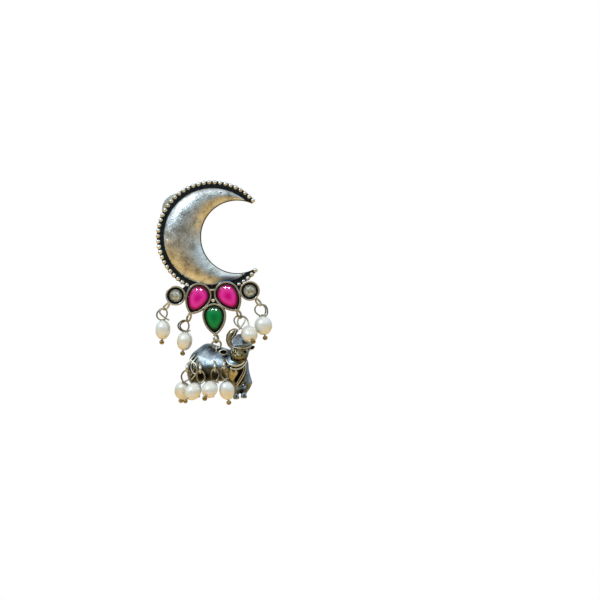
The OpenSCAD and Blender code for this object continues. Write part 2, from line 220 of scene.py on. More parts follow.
def rod(vertices, radius, depth, **settings):
    return settle(added(bpy.ops.mesh.primitive_cylinder_add, vertices=vertices, radius=radius, depth=depth,
        **settings))


def sphere(segments, rings, radius, **settings):
    return settle(added(bpy.ops.mesh.primitive_uv_sphere_add, segments=segments, ring_count=rings,
        radius=radius, **settings))


def everywhere(place, normal):
    return True


def reshape(piece, move):
    """Moves every vertex to where the function puts it."""
    for vertex in piece.data.vertices:
        vertex.co = move(vertex.co)
    piece.data.update()


def settle(piece):
    """Puts the object's place, turn and scale into its mesh."""
    only(piece)
    bpy.ops.object.transform_apply(location=True, rotation=True, scale=True)
    return piece


def joined(pieces):
    if len(pieces) > 1:
        only(*pieces)
        bpy.ops.object.join()
    return pieces[0]


def copied(piece, matrix):
    """A copy with its own mesh, moved by the matrix."""
    twin = piece.copy()
    twin.data = piece.data.copy()
    bpy.context.scene.collection.objects.link(twin)
    twin.data.transform(matrix)
    return twin


def delivered(piece, name, body, finish, stands_for=(), smooth=38):
    """Stands a finished piece up in the frame and hands it to its body."""
    piece.name = name
    piece.data.name = name
    settle(piece)
    piece.data.transform(UPRIGHT)
    if not piece.data.materials:
        piece.data.materials.append(finish)
    only(piece)
    bpy.ops.object.shade_smooth_by_angle(angle=math.radians(smooth))
    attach(piece, body)
    if stands_for:
        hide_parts(*stands_for)
    return piece


def wire(points, radius, closed=False, sides=5, swell=None):
    """A round wire along smooth points; swell holds a thickness for each point."""
    path = added(bpy.ops.curve.primitive_nurbs_path_add)
    curve = path.data
    curve.splines.clear()
    spline = curve.splines.new("NURBS")
    spline.points.add(len(points) - 1)
    for number, (place, point) in enumerate(zip(spline.points, points)):
        place.co = (*point, 1)
        place.radius = swell[number] if swell else 1
    spline.order_u = 4
    spline.use_endpoint_u = not closed
    spline.use_cyclic_u = closed
    curve.dimensions = "3D"
    curve.resolution_u = 5
    curve.bevel_depth = radius
    curve.bevel_resolution = sides
    curve.use_fill_caps = True
    only(path)
    bpy.ops.object.convert(target="MESH")
    return bpy.context.view_layer.objects.active


def arc(points, radius, swell=None, sides=4):
    return wire([Vector(point) for point in points], radius, sides=sides, swell=swell)


# ---------------------------------------------------------------- material helpers
def colour(code):
    """An sRGB hex code as linear colour with alpha."""
    parts = [int(code[i:i + 2], 16) / 255 for i in (0, 2, 4)]
    return (*[p / 12.92 if p <= 0.04045 else ((p + 0.055) / 1.055) ** 2.4 for p in parts], 1)


def add(tree, kind, sockets=None, stops=None, **settings):
    """Adds a node with its settings, and links or sets its sockets."""
    made = tree.nodes.new(kind)
    for name, value in settings.items():
        setattr(made, name, value)
    for name, value in (sockets or {}).items():
        if isinstance(value, bpy.types.NodeSocket):
            tree.links.new(value, made.inputs[name])
        else:
            made.inputs[name].default_value = value
    if stops:
        elements = made.color_ramp.elements
        while len(elements) < len(stops):
            elements.new(0.5)
        for element, (place, shade) in zip(elements, stops):
            element.position, element.color = place, colour(shade)
    return made


def new_material(name):
    """An empty material with its output; returns it, its tree and its object coordinates."""
    material = bpy.data.materials.new(name)
    material.use_nodes = True
    tree = material.node_tree
    tree.nodes.clear()
    return material, tree, add(tree, "ShaderNodeTexCoord").outputs["Object"]


def surfaced(material, shader):
    """Ends a material with its shader."""
    tree = material.node_tree
    output = add(tree, "ShaderNodeOutputMaterial")
    tree.links.new(shader.outputs[0], output.inputs["Surface"])
    return material


def coated(material, sockets):
    """Ends a material with one principled shader."""
    return surfaced(material, add(material.node_tree, "ShaderNodeBsdfPrincipled", sockets))


def per_mm(size):
    """Noise scale for a grain of that size in millimetres."""
    return 1 / (size * MM)


def grained(tree, place, scale, detail, roughness=0.5, distortion=0.0):
    return add(tree, "ShaderNodeTexNoise", {"Vector": place, "Scale": scale, "Detail": detail,
        "Roughness": roughness, "Distortion": distortion}).outputs["Fac"]


def brushed(tree, place, stretch, size, detail):
    """Fine rubbing marks, drawn out along a slant."""
    laid = add(tree, "ShaderNodeMapping", {"Vector": place, "Rotation": (0, math.radians(35), 0),
        "Scale": (1, 1, stretch)})
    return grained(tree, laid.outputs[0], per_mm(size), detail, 0.65)


def ranged(tree, value, low, high, first=0.0, last=1.0, soft=False):
    """Takes a value between low and high to one between first and last."""
    return add(tree, "ShaderNodeMapRange", {"Value": value, "From Min": low, "From Max": high,
        "To Min": first, "To Max": last},
        interpolation_type="SMOOTHSTEP" if soft else "LINEAR").outputs[0]


def scaled_sum(tree, value, factor, other):
    return add(tree, "ShaderNodeMath", {0: value, 1: factor, 2: other},
        operation="MULTIPLY_ADD").outputs[0]


def vector_math(tree, operation, *vectors):
    made = add(tree, "ShaderNodeVectorMath", dict(enumerate(vectors)), operation=operation)
    return made.outputs["Value" if operation in ("DISTANCE", "LENGTH") else "Vector"]


def ramped(tree, value, stops):
    return add(tree, "ShaderNodeValToRGB", {"Fac": value}, stops=stops).outputs["Color"]


def blended(tree, amount, first, second, blend="MIX"):
    """Mixes two colours; the second may be a hex code."""
    second = colour(second) if isinstance(second, str) else second
    return add(tree, "ShaderNodeMix", {0: amount, 6: first, 7: second}, data_type="RGBA",
        blend_type=blend).outputs[2]


def relief(tree, height, strength, depth):
    """Bumps of that depth in millimetres."""
    return add(tree, "ShaderNodeBump", {"Height": height, "Strength": strength,
        "Distance": depth * MM}).outputs[0]


def stored(tree, name):
    """The value that a mesh stores under that name."""
    return add(tree, "ShaderNodeAttribute", attribute_name=name,
        attribute_type="GEOMETRY").outputs["Fac"]


# Silver plate, cast, plated and buffed by hand: a warm white metal with fine rubbing marks, soft
# tarnish clouds and darker hollows
def buffed_silver(name, pale, tarnish, roughness, bump, hollows=None):
    material, tree, place = new_material(name)
    shade = ramped(tree, grained(tree, place, per_mm(3.0), 4.0), [(0.36, tarnish), (0.62, pale)])
    rubbing = brushed(tree, place, 0.18, 0.22, 6.0)
    if hollows:
        low, high = hollows
        across = add(tree, "ShaderNodeSeparateXYZ", {0: place})
        deep = ranged(tree, across.outputs["Y"], -high * MM, -low * MM)
        shade = blended(tree, deep, shade, "20262A")
    gloss = ranged(tree, rubbing, 0.3, 0.7, roughness * 0.8, roughness * 1.25)
    return coated(material, {"Base Color": shade, "Metallic": 1.0, "Roughness": gloss,
        "Normal": relief(tree, rubbing, bump, 0.03)})


# Casting pits in the crescent's face: x, y, radius and depth, which is negative for a bump
PITS = [(11.1, 3.75, 0.34, 1.6), (16.3, -16.5, 0.26, 1.2), (5.2, -3.6, 0.5, -1.8), (0.15, -5.4, 0.24, -1.8),
        (-2.3, -8.1, 0.42, -0.9), (3.4, -10.2, 0.3, 0.4)]


# The open face of the crescent: silver plate polished along its curve, with short rubbing marks and small
# casting pits, a painted dark band of shade along its outer edge that widens towards the upper point, and a
# painted dark blue reflection on the lower horn
def crescent_silver(name):
    material, tree, place = new_material(name)
    ribs = add(tree, "ShaderNodeUVMap", uv_map="UVMap").outputs["UV"]
    drawn = vector_math(tree, "MULTIPLY", ribs, (60 / 0.9, 11 / 0.24, 1))
    marks = grained(tree, drawn, 1.0, 5.0, 0.65, 0.4)
    clouds = grained(tree, place, per_mm(2.4), 5.0, 0.6)
    grit = grained(tree, place, per_mm(0.4), 5.0, 0.7)
    shade = ramped(tree, scaled_sum(tree, marks, 0.6, clouds),
        [(0.58, "96928A"), (0.78, "DADCDA"), (0.98, "FCFDFD")])
    shade = blended(tree, ranged(tree, grit, 0.3, 0.42, 0.9, 0.0), shade, "55524A")
    height = scaled_sum(tree, marks, 0.6, grit)
    flat = vector_math(tree, "MULTIPLY", place, (1, 0, 1))
    for x, y, radius, depth in PITS:
        away = vector_math(tree, "DISTANCE", flat, UPRIGHT @ Vector((x, y, 0)))
        near = ranged(tree, away, 0.3 * radius * MM, radius * MM, 1.0, 0.0)
        height = scaled_sum(tree, near, -depth, height)
        if depth > 1:
            shade = blended(tree, near, shade, "101314")
    # Painted shade and dark reflection: a blue-grey band darkens the dome along its outer edge, widest
    # towards the upper point
    across = add(tree, "ShaderNodeSeparateXYZ", {0: ribs})
    edge_shade_reach = scaled_sum(tree, clouds, 0.16, across.outputs["Y"])
    upper = scaled_sum(tree, across.outputs["X"], 1.0, edge_shade_reach)
    shade = blended(tree, ranged(tree, upper, 0.2, 0.7, 0.8, 0.0, soft=True), shade, "2C4150")
    # Painted reflection: a dark blue patch on the lower horn stands for the dark parts below it that it would
    # mirror
    horn_reflection_offset = vector_math(tree, "SUBTRACT", place, UPRIGHT @ Vector((14.2, -18.6, 0)))
    laid = add(tree, "ShaderNodeMapping", {"Vector": horn_reflection_offset, "Rotation": (0, math.radians(22), 0),
        "Scale": (1 / (7.2 * MM), 0, 1 / (2.4 * MM))})
    away = vector_math(tree, "LENGTH", laid.outputs[0])
    shade = blended(tree, ranged(tree, away, 0.3, 1.0, 0.95, 0.0, soft=True), shade, "1B497F")
    return coated(material, {"Base Color": shade, "Metallic": 1.0,
        "Roughness": ranged(tree, marks, 0.3, 0.7, 0.15, 0.27), "Normal": relief(tree, height, 0.9, 0.08)})


# Silver sulphide left in the recesses: nearly black, with a dull blue sheen
def oxidised_silver(name):
    material, tree, place = new_material(name)
    grain = grained(tree, place, per_mm(0.4), 5.0)
    return coated(material, {"Base Color": ramped(tree, grain, [(0.35, "0B1014"), (0.7, "273038")]),
        "Metallic": 0.7, "Roughness": 0.42, "Normal": relief(tree, grain, 0.4, 0.03)})


# Cast silver with an antique finish: hollows stay black, and rubbed edges shine through; the stored wear
# also carries painted shade and painted highlights
def antique_silver(name, rubbed, middle, deep, gloss, marks):
    material, tree, place = new_material(name)
    wear_and_light = scaled_sum(tree, grained(tree, place, per_mm(0.7), 6.0, 0.6), 0.36, stored(tree, "wear_and_painted_light"))
    shade = ramped(tree, wear_and_light, [(0.34, deep), (0.62, middle), (0.86, rubbed)])
    # Painted warm reflection: a gold tint where light from below would mirror, stored on the mesh
    warm = add(tree, "ShaderNodeMath", {0: stored(tree, "warm_reflection"), 1: 0.9}, operation="MULTIPLY",
        use_clamp=True)
    shade = blended(tree, warm.outputs[0], shade, "D2B06A", "MULTIPLY")
    return coated(material, {"Base Color": shade, "Metallic": 1.0,
        "Roughness": ranged(tree, wear_and_light, 0.35, 0.8, gloss * 1.6, gloss * 0.8),
        "Normal": relief(tree, brushed(tree, place, 0.35, 0.2, 5.0), marks, 0.05)})


# Nacre: white with a faint warm and cool play, and a soft deep gloss
def nacre(name):
    material, tree, place = new_material(name)
    clouds = grained(tree, place, per_mm(2.4), 4.0, distortion=0.6)
    skin = grained(tree, place, per_mm(0.8), 4.0)
    return coated(material, {
        "Base Color": ramped(tree, clouds, [(0.32, "E8DFCB"), (0.5, "F0EEE6"), (0.68, "E6EEF0")]),
        "Metallic": 0.3, "Roughness": 0.24, "IOR": 1.6, "Coat Weight": 1.0, "Coat Roughness": 0.06,
        "Normal": relief(tree, skin, 0.45, 0.08)})


# Moulded and polished glass over foil: deep colour in the middle, a painted glow where the dome turns down,
# and painted shade at the setting
def cabochon_glass(name, core, glow, edge):
    material, tree, place = new_material(name)
    across = scaled_sum(tree, grained(tree, place, per_mm(1.6), 3.0), 0.1, stored(tree, "rim"))
    return coated(material, {
        "Base Color": ramped(tree, across, [(0.2, core), (0.62, glow), (0.79, core), (0.9, edge)]),
        "Roughness": 0.06, "IOR": 1.5, "Specular IOR Level": 0.25})


# Cut glass backed with foil that has gone grey: bright and dull patches behind the facets
def foiled_glass(name):
    material, tree, place = new_material(name)
    patches = add(tree, "ShaderNodeTexVoronoi", {"Vector": place, "Scale": per_mm(0.9)}, feature="F1")
    grey = grained(tree, place, per_mm(0.5), 4.0)
    foil = scaled_sum(tree, patches.outputs["Distance"], 0.3, grey)
    return coated(material, {
        "Base Color": ramped(tree, foil, [(0.42, "77796C"), (0.58, "B9BAAB"), (0.8, "DFE0D6")]),
        "Metallic": 0.45, "Roughness": 0.14, "IOR": 1.54, "Coat Weight": 1.0, "Coat Roughness": 0.02})


# White paper sweep whose far edge runs out into the white surroundings
def floor_paper(name):
    material, tree, place = new_material(name)
    grain = grained(tree, place, per_mm(2.0), 3.0)
    paper = add(tree, "ShaderNodeBsdfPrincipled", {"Base Color": colour("FAF9F6"), "Roughness": 0.8,
        "Normal": relief(tree, grain, 0.05, 0.1)})
    away = vector_math(tree, "DISTANCE", place, (0, 0, -0.2))
    glow = add(tree, "ShaderNodeEmission", {"Color": (1, 1, 1, 1), "Strength": 1.0})
    return surfaced(material, add(tree, "ShaderNodeMixShader",
        {0: ranged(tree, away, 0.1, 0.7, soft=True), 1: paper.outputs[0], 2: glow.outputs[0]}))


# What makes each finish, and its colours, gloss and relief
FINISH_MAKERS = {
    "crescent_silver": (crescent_silver,),
    "bright_silver": (buffed_silver, "F4F4F0", "D2CAB8", 0.17, 0.15, (0.5, 1.05)),
    "setting_silver": (buffed_silver, "F2F0EA", "CFC6B2", 0.18, 0.2, (0.3, 2.1)),
    "back_silver": (buffed_silver, "DCDCD8", "ABA697", 0.34, 0.35),
    "nut_silver": (buffed_silver, "F0EDE4", "CDC6B4", 0.3, 0.2),
    "link_silver": (buffed_silver, "D8D4C4", "A3977A", 0.2, 0.2),
    "tarnished_wire": (buffed_silver, "BDB8A6", "7D745E", 0.2, 0.2),
    "tarnished_ball": (buffed_silver, "C9B688", "84703F", 0.2, 0.3),
    "oxidised_silver": (oxidised_silver,),
    "bull_silver": (antique_silver, "E2ECF4", "84919B", "1A1A1A", 0.22, 0.6),
    "trim_silver": (antique_silver, "EAE6DA", "ADA692", "16171A", 0.22, 0.35),
    "nacre": (nacre,),
    # Pink and green glass: core colour, painted glow and painted shade at the setting
    "pink_glass": (cabochon_glass, "CE0084", "E63AA4", "45081F"),
    "green_glass": (cabochon_glass, "007236", "058A46", "02260F"),
    "foiled_glass": (foiled_glass,),
    "floor_paper": (floor_paper,),
}
FINISHES = {}


def finish(name):
    """Each finish is made once, when the first piece asks for it."""
    if name not in FINISHES:
        make, *settings = FINISH_MAKERS[name]
        FINISHES[name] = make(name, *settings)
    return FINISHES[name]


# ---------------------------------------------------------------- sizes that a user would change
def length(name, description, size):
    """A size that is given here in millimetres."""
    return FloatProperty(name=name, description=description, default=size * MM, unit="LENGTH", precision=5)


class CrescentSizes(PropertyGroup):
    rim_radius: length("Rim radius", "Radius of the circle of rim beads", 13.6)
    bead: length("Rim bead", "Diameter of a rim bead", 1.2)
    mouth_radius: length("Mouth radius", "Radius of the crescent's open mouth", 9.05)
    mouth_shift: length("Mouth shift", "How far the mouth sits to the right", 6.2)
    dome_height: length("Dome height", "Height of the domed face over the plate", 2.6)


class StoneSizes(PropertyGroup):
    rise: length("Stone rise", "Height of a pear stone over its setting", 0.8)
    wall: length("Setting wall", "Wall of a stone setting", 0.38)
    round_radius: length("Round stone", "Radius of a faceted round stone", 1.6)


class DropSizes(PropertyGroup):
    pearl: length("Pearl", "Diameter of a pearl", 4)
    pearl_height: length("Pearl height", "Height of a pearl along its hole", 4.8)
    pin: length("Headpin wire", "Diameter of the headpin wire", 0.36)
    seed: IntProperty(name="Seed", description="Picks the small differences between pearls", default=7)


class StageLook(PropertyGroup):
    floor_drop: FloatProperty(name="Floor", description="How far the floor lies below the ear post",
        default=0.2, unit="LENGTH")
    key: FloatProperty(name="Key light", description="Power of the large light at the upper left",
        default=0.85, unit="POWER")
    sky: FloatVectorProperty(name="Upper light", description="Colour of the light from above",
        default=colour("F4FAFD")[:3], subtype="COLOR", size=3)
    ground: FloatVectorProperty(name="Lower light", description="Colour of the light from below",
        default=colour("F0D49A")[:3], subtype="COLOR", size=3)


# ---------------------------------------------------------------- crescent
def crescent_plate(sizes):
    """Flat back plate with the mouth and the wedge between the tips cut out."""
    x, y = RIM_CENTRE
    edge = sizes.rim_radius / MM + sizes.bead / MM * 0.28
    plate = rod(192, edge, PLATE, location=(x, y, PLATE / 2))
    mouth = rod(160, sizes.mouth_radius / MM, 4, location=(x + sizes.mouth_shift / MM, y, 0))
    wedge = added(bpy.ops.mesh.primitive_plane_add, size=2, location=(x, y, -1))
    lower, upper = 2 - LOWER_POINT, UPPER_POINT - 2
    corners = [(0, 0), *[40 * turned((1, 0), angle) for angle in (lower, (lower + upper) / 2, upper)]]
    for vertex, corner in zip([wedge.data.vertices[i] for i in (0, 1, 3, 2)], corners):
        vertex.co = (corner[0], corner[1], 0)
    pick(wedge, "FACE", everywhere)
    extrude(4)
    face_outwards()
    for cutter in (mouth, wedge):
        cut(plate, cutter)
    bevel(plate, 0.1, 2, 50)
    return plate


def crescent_dome(sizes):
    """Swelling face: ribs run across the crescent from its outer edge to its mouth."""
    outer = sizes.rim_radius / MM - 1.35
    inner = sizes.mouth_radius / MM + 0.2
    shift = sizes.mouth_shift / MM
    tip = Vector(((outer ** 2 - inner ** 2 + shift ** 2) / (2 * shift), 0))
    tip.y = math.sqrt(outer ** 2 - tip.x ** 2)
    outer_sweep = 180 - math.degrees(math.atan2(tip.y, tip.x))
    inner_sweep = 180 - math.degrees(math.atan2(tip.y, tip.x - shift))
    widest = outer - inner + shift

    def surface(point):
        along, across = 2 * point.x, point.y + 0.5
        along = 0.992 * math.sin(along * math.pi / 2) * 0.35 + along * 0.992 * 0.65
        far = outer * turned((-1, 0), along * outer_sweep)
        near = Vector((shift, 0)) + inner * turned((-1, 0), along * inner_sweep)
        angle = math.pi * across
        middle = (far + near) / 2 + (far - near) / 2 * math.cos(angle)
        height = sizes.dome_height / MM * ((far - near).length / widest) ** 0.85
        return Vector((RIM_CENTRE.x + middle.x, RIM_CENTRE.y + middle.y,
            PLATE + height * max(math.sin(angle), 0) ** 0.8))

    dome = added(bpy.ops.mesh.primitive_grid_add, x_subdivisions=180, y_subdivisions=34, size=1)
    reshape(dome, surface)
    pick(dome, "EDGE", lambda middle, run: False)
    bpy.ops.mesh.select_non_manifold()
    extrude(-0.3)
    bpy.ops.mesh.edge_face_add()
    face_outwards()
    return dome


def rim_beads(sizes):
    """Cast beads round the rim, left out where the settings cover them."""
    chance = random.Random(3)
    radius, bead = sizes.rim_radius / MM, sizes.bead / MM
    span = 360 - UPPER_POINT - LOWER_POINT
    count = int(span * math.pi * radius / 180 / (bead + 0.14))
    first = sphere(20, 14, bead / 2)
    beads = []
    for number in range(count + 1):
        angle = UPPER_POINT + span * number / count
        if abs(angle - 270 - CLUSTER_TILT) < 21:
            continue
        place = RIM_CENTRE + (radius - 0.04) * turned((1, 0), angle)
        size = chance.uniform(0.95, 1.06)
        matrix = (Matrix.Translation((*place, bead / 2 + 0.1))
            @ Matrix.Rotation(chance.uniform(0, 6), 4, "Z")
            @ Matrix.Diagonal((size, size * chance.uniform(0.94, 1.04), size, 1)))
        beads.append(copied(first, matrix))
    bpy.data.objects.remove(first)
    return joined(beads)


# ---------------------------------------------------------------- settings
def pear_reach(radius, length, inset, angle):
    """Distance from a pear's round middle to its outline, whose point lies down."""
    if math.sin(angle) >= 0:
        return radius - inset
    side = (length * length + radius * radius) / (2 * radius)
    offset = side - radius
    reach = side - inset
    run = offset * abs(math.cos(angle))
    return -run + math.sqrt(max(run * run + reach * reach - offset * offset, 0))


def pear_outline(radius, length, inset, count=96):
    points = []
    for number in range(count):
        angle = 2 * math.pi * number / count
        reach = pear_reach(radius, length, inset, angle)
        points.append(Vector((reach * math.cos(angle), reach * math.sin(angle))))
    return points


def paint(piece, finishes, choose):
    """Gives the piece its finishes; choose says which of them a face takes."""
    piece.data.materials.clear()
    for name in finishes:
        piece.data.materials.append(finish(name))
    for face in piece.data.polygons:
        face.material_index = int(choose(face))
    return piece


def cup(outline, inner, height, depth, flange=0.0):
    """A stone's setting: an outline raised to a wall, with the inner outline sunk to hold the stone."""
    count = len(outline)
    wall = added(bpy.ops.mesh.primitive_circle_add, vertices=count, radius=1, fill_type="NGON")
    for vertex, point in zip(wall.data.vertices, outline):
        grown = point + point.normalized() * flange
        vertex.co = (grown.x, grown.y, 0)
    pick(wall, "FACE", everywhere)
    if flange:
        extrude(0.7)
        bpy.ops.mesh.inset(thickness=flange)
        extrude(height - 0.7)
    else:
        extrude(height)
    bpy.ops.mesh.inset(thickness=0.18)
    done()
    top = [v for v in wall.data.vertices if v.select]
    spots = sorted(top, key=lambda v: math.atan2(v.co.y, v.co.x) % (2 * math.pi))
    for vertex, point in zip(spots, inner):
        vertex.co = (point.x, point.y, height)
    wall.data.update()
    only(wall)
    bpy.ops.object.mode_set(mode="EDIT")
    extrude(-depth)
    face_outwards()
    bevel(wall, 0.1, 3, 50)
    pick(wall, "FACE", lambda middle, normal: normal.z < -0.99)
    bpy.ops.mesh.inset(thickness=0.06)
    done()

    def coat(face):
        flat = Vector((face.center.x, face.center.y))
        around = int(round((math.atan2(flat.y, flat.x) % (2 * math.pi)) / (2 * math.pi) * count)) % count
        hollow = 0.1 < face.center.z < height - 0.14 and flat.length < inner[around].length + 0.04
        return 2 if face.normal.z < -0.5 else hollow

    return paint(wall, ("setting_silver", "oxidised_silver", "back_silver"), coat)


def at(piece, point, level=0.0, turn=0.0):
    piece.data.transform(Matrix.Translation((point[0], point[1], level))
        @ Matrix.Rotation(math.radians(turn), 4, "Z"))
    return piece


def pear_settings(sizes):
    walls = []
    wall = sizes.wall / MM
    for point, turn, radius, length, level, *_ in PEARS:
        piece = cup(pear_outline(radius, length, -FLANGE), pear_outline(radius, length, wall - FLANGE),
            SETTING_HEIGHT, CUP_DEPTH, FLANGE)
        walls.append(at(piece, point, level, turn))
    return joined(walls)


def round_settings(sizes):
    circle = [Vector((math.cos(2 * math.pi * i / 80), math.sin(2 * math.pi * i / 80))) for i in range(80)]
    walls = []
    for point in (ROUND_LEFT, ROUND_RIGHT):
        piece = cup([ROUND_R * p for p in circle], [(ROUND_R - sizes.wall / MM) * p for p in circle],
            SETTING_HEIGHT, CUP_DEPTH)
        walls.append(at(piece, point, ROUND_BACK))
    return joined(walls)


def web_plate():
    """Dark plate behind the settings that carries them on the crescent."""
    corners = [ROUND_LEFT, placed(-6.45, 4.46), placed(6.45, 4.46), ROUND_RIGHT, PINK_RIGHT, GREEN, PINK_LEFT]
    plate = added(bpy.ops.mesh.primitive_circle_add, vertices=len(corners), fill_type="NGON")
    for vertex, corner in zip(plate.data.vertices, reversed(corners)):
        vertex.co = (corner.x, corner.y, 0.15)
    pick(plate, "FACE", everywhere)
    extrude(PLATE - 0.2)
    face_outwards()
    return plate


def small_trim():
    """Granule, solder bumps and the bar between the pink settings."""
    parts = []
    for point, radius, level in ((placed(0, 0), 0.5, 1.95), (placed(-6.61, 1.43), 0.38, 1.9),
            (placed(6.61, 1.43), 0.38, 1.9)):
        parts.append(sphere(28, 18, radius, location=(*point, level)))
        if radius > 0.4:
            parts.append(rod(20, 0.34, level - 0.3, location=(*point, level / 2 + 0.15)))
    bar = rod(20, 0.27, 1.9, location=(*placed(0, 2.63), 1.9),
        rotation=(0, math.radians(90), math.radians(CLUSTER_TILT)))
    bevel(bar, 0.06, 2)
    parts.append(bar)
    return joined(parts)


def eyelets():
    """Cast eyelets under the settings, seen a little turned, each with a blob of solder at its root."""
    rings = []
    for number, (start, lean, radius) in enumerate(EYELETS):
        side = number < 4
        wide, tall = (0.66, 1.0) if side else (radius, radius)
        middle = eyelet_middle(start, lean, tall)
        loop = [Vector((wide * math.cos(a), tall * math.sin(a), 0))
            for a in [2 * math.pi * k / 16 for k in range(16)]]
        turn = Euler((0, math.radians(52 if side else 60), math.radians(lean)), "XYZ")
        for point in loop:
            point.rotate(turn)
            point += Vector((*middle, LINK_LEVEL))
        rings.append(wire(loop, LINK_WIRE / 2 * (1.08 if side else 1.3), closed=True))
        rings.append(sphere(20, 12, 0.42, location=(*(start + 0.12 * down(lean)), LINK_LEVEL),
            scale=(1.0, 0.8, 1.3), rotation=(0, 0, math.radians(lean))))
    return joined(rings)


def ear_post():
    post = rod(32, POST_RADIUS, POST_LENGTH, location=(0, 0, POST_ROOT - POST_LENGTH / 2))
    bevel(post, 0.12, 3)
    solder = sphere(32, 16, 0.85, scale=(1, 1, 0.5), location=(0, 0, 0.05))
    return joined([post, solder])


def ear_nut():
    """Disc nut with a rolled edge and a hub, bored for the post."""
    disc = rod(72, NUT_RADIUS, NUT_THICK, location=(0, 0, NUT_LEVEL))
    pick(disc, "FACE", lambda middle, normal: normal.z < -0.9)
    bpy.ops.mesh.inset(thickness=0.55)
    extrude(0.15)
    bpy.ops.mesh.inset(thickness=2.35)
    extrude(-2.15)
    done()
    cut(disc, rod(32, POST_RADIUS + 0.06, 6, location=(0, 0, -7)))
    bevel(disc, 0.14, 3, 45)
    return disc


# ---------------------------------------------------------------- stones
def cabochon(radius, length, sizes):
    """A smooth domed stone in a pear setting; its rim attribute runs from the middle to the edge."""
    inset = sizes.wall / MM
    edge, top = SETTING_HEIGHT - STONE_SEAT, SETTING_HEIGHT + sizes.rise / MM
    middle = Vector((0, (radius - length) * 0.32))
    stone = sphere(96, 48, 1)
    pick(stone, "VERT", everywhere)
    bpy.ops.mesh.bisect(plane_co=(0, 0, 0), plane_no=(0, 0, 1), clear_inner=True, use_fill=True)
    done()

    def outline(angle):
        near, far = 0.0, 8.0
        direction = Vector((math.cos(angle), math.sin(angle)))
        for step in range(22):
            half = (near + far) / 2
            spot = middle + half * direction
            inside = spot.length <= pear_reach(radius, length, inset, math.atan2(spot.y, spot.x))
            near, far = (half, far) if inside else (near, half)
        return near

    reaches = [outline(2 * math.pi * i / 96) for i in range(96)]
    # The stone's own point is softer than the setting's
    blunt = (radius + length) / 2 * 0.98 - inset
    reaches = [min(reach, blunt * (1 + 0.06 * abs(math.cos(2 * math.pi * i / 96))))
        for i, reach in enumerate(reaches)]

    def dome(place):
        around = math.atan2(place.y, place.x) % (2 * math.pi) / (2 * math.pi) * 96
        low = int(around) % 96
        part = around - int(around)
        reach = reaches[low] * (1 - part) + reaches[(low + 1) % 96] * part
        flat = min(math.hypot(place.x, place.y), 1.0)
        angle = math.atan2(place.y, place.x)
        return Vector((middle.x + reach * flat * math.cos(angle), middle.y + reach * flat * math.sin(angle),
            edge + (top - edge) * max(place.z, 0) ** 0.9))

    places = [Vector(v.co) for v in stone.data.vertices]
    reshape(stone, dome)
    rim = stone.data.attributes.new("rim", "FLOAT", "POINT")
    for number, place in enumerate(places):
        rim.data[number].value = min(math.hypot(place.x, place.y), 1.0)
    pick(stone, "FACE", lambda middle, normal: normal.z < -0.9)
    extrude(STONE_FOOT - edge)
    done()
    return stone


def faceted_stone(sizes):
    """A round stone with a table, eight crown facets and smaller ones between them."""
    radius = sizes.round_radius / MM
    stone = added(bpy.ops.mesh.primitive_cone_add, vertices=8, radius1=radius * 1.04, radius2=radius * 0.5,
        depth=0.62, location=(0, 0, 1.66 + 0.31))
    settle(stone)
    pick(stone, "EDGE", lambda middle, run: abs(run.normalized().z) > 0.2)
    bpy.ops.mesh.bevel(offset=0.26, segments=1, affect="EDGES")
    done()
    pick(stone, "EDGE", lambda middle, run: middle.z > 2.2)
    bpy.ops.mesh.bevel(offset=0.16, segments=1, affect="EDGES")
    done()
    pick(stone, "FACE", lambda middle, normal: normal.z < -0.9)
    extrude(-0.7)
    bpy.ops.transform.resize(value=(0.8, 0.8, 1), center_override=(0, 0, 0.96))
    done()
    return stone


# ---------------------------------------------------------------- drops
# A drop's length from the point it hangs on: to where its pin bends, and to the middle of its pearl
KNUCKLE = 2 * 1.35 - 0.49
REACH = 5.4


def drop_matrix(point, level, lean, tip):
    return (Matrix.Translation((*point, level)) @ Matrix.Rotation(math.radians(lean), 4, "Z")
        @ Matrix.Rotation(math.radians(-tip), 4, "X"))


def bent_matrix(knuckle, bend, lean=0.0):
    """Turns what hangs below the knuckle of a pin: bend towards the front, lean to the right."""
    turn = Euler((math.radians(bend), 0, math.radians(lean)), "XYZ").to_matrix().to_4x4()
    return Matrix.Translation((0, -knuckle, 0)) @ turn @ Matrix.Translation((0, knuckle, 0))


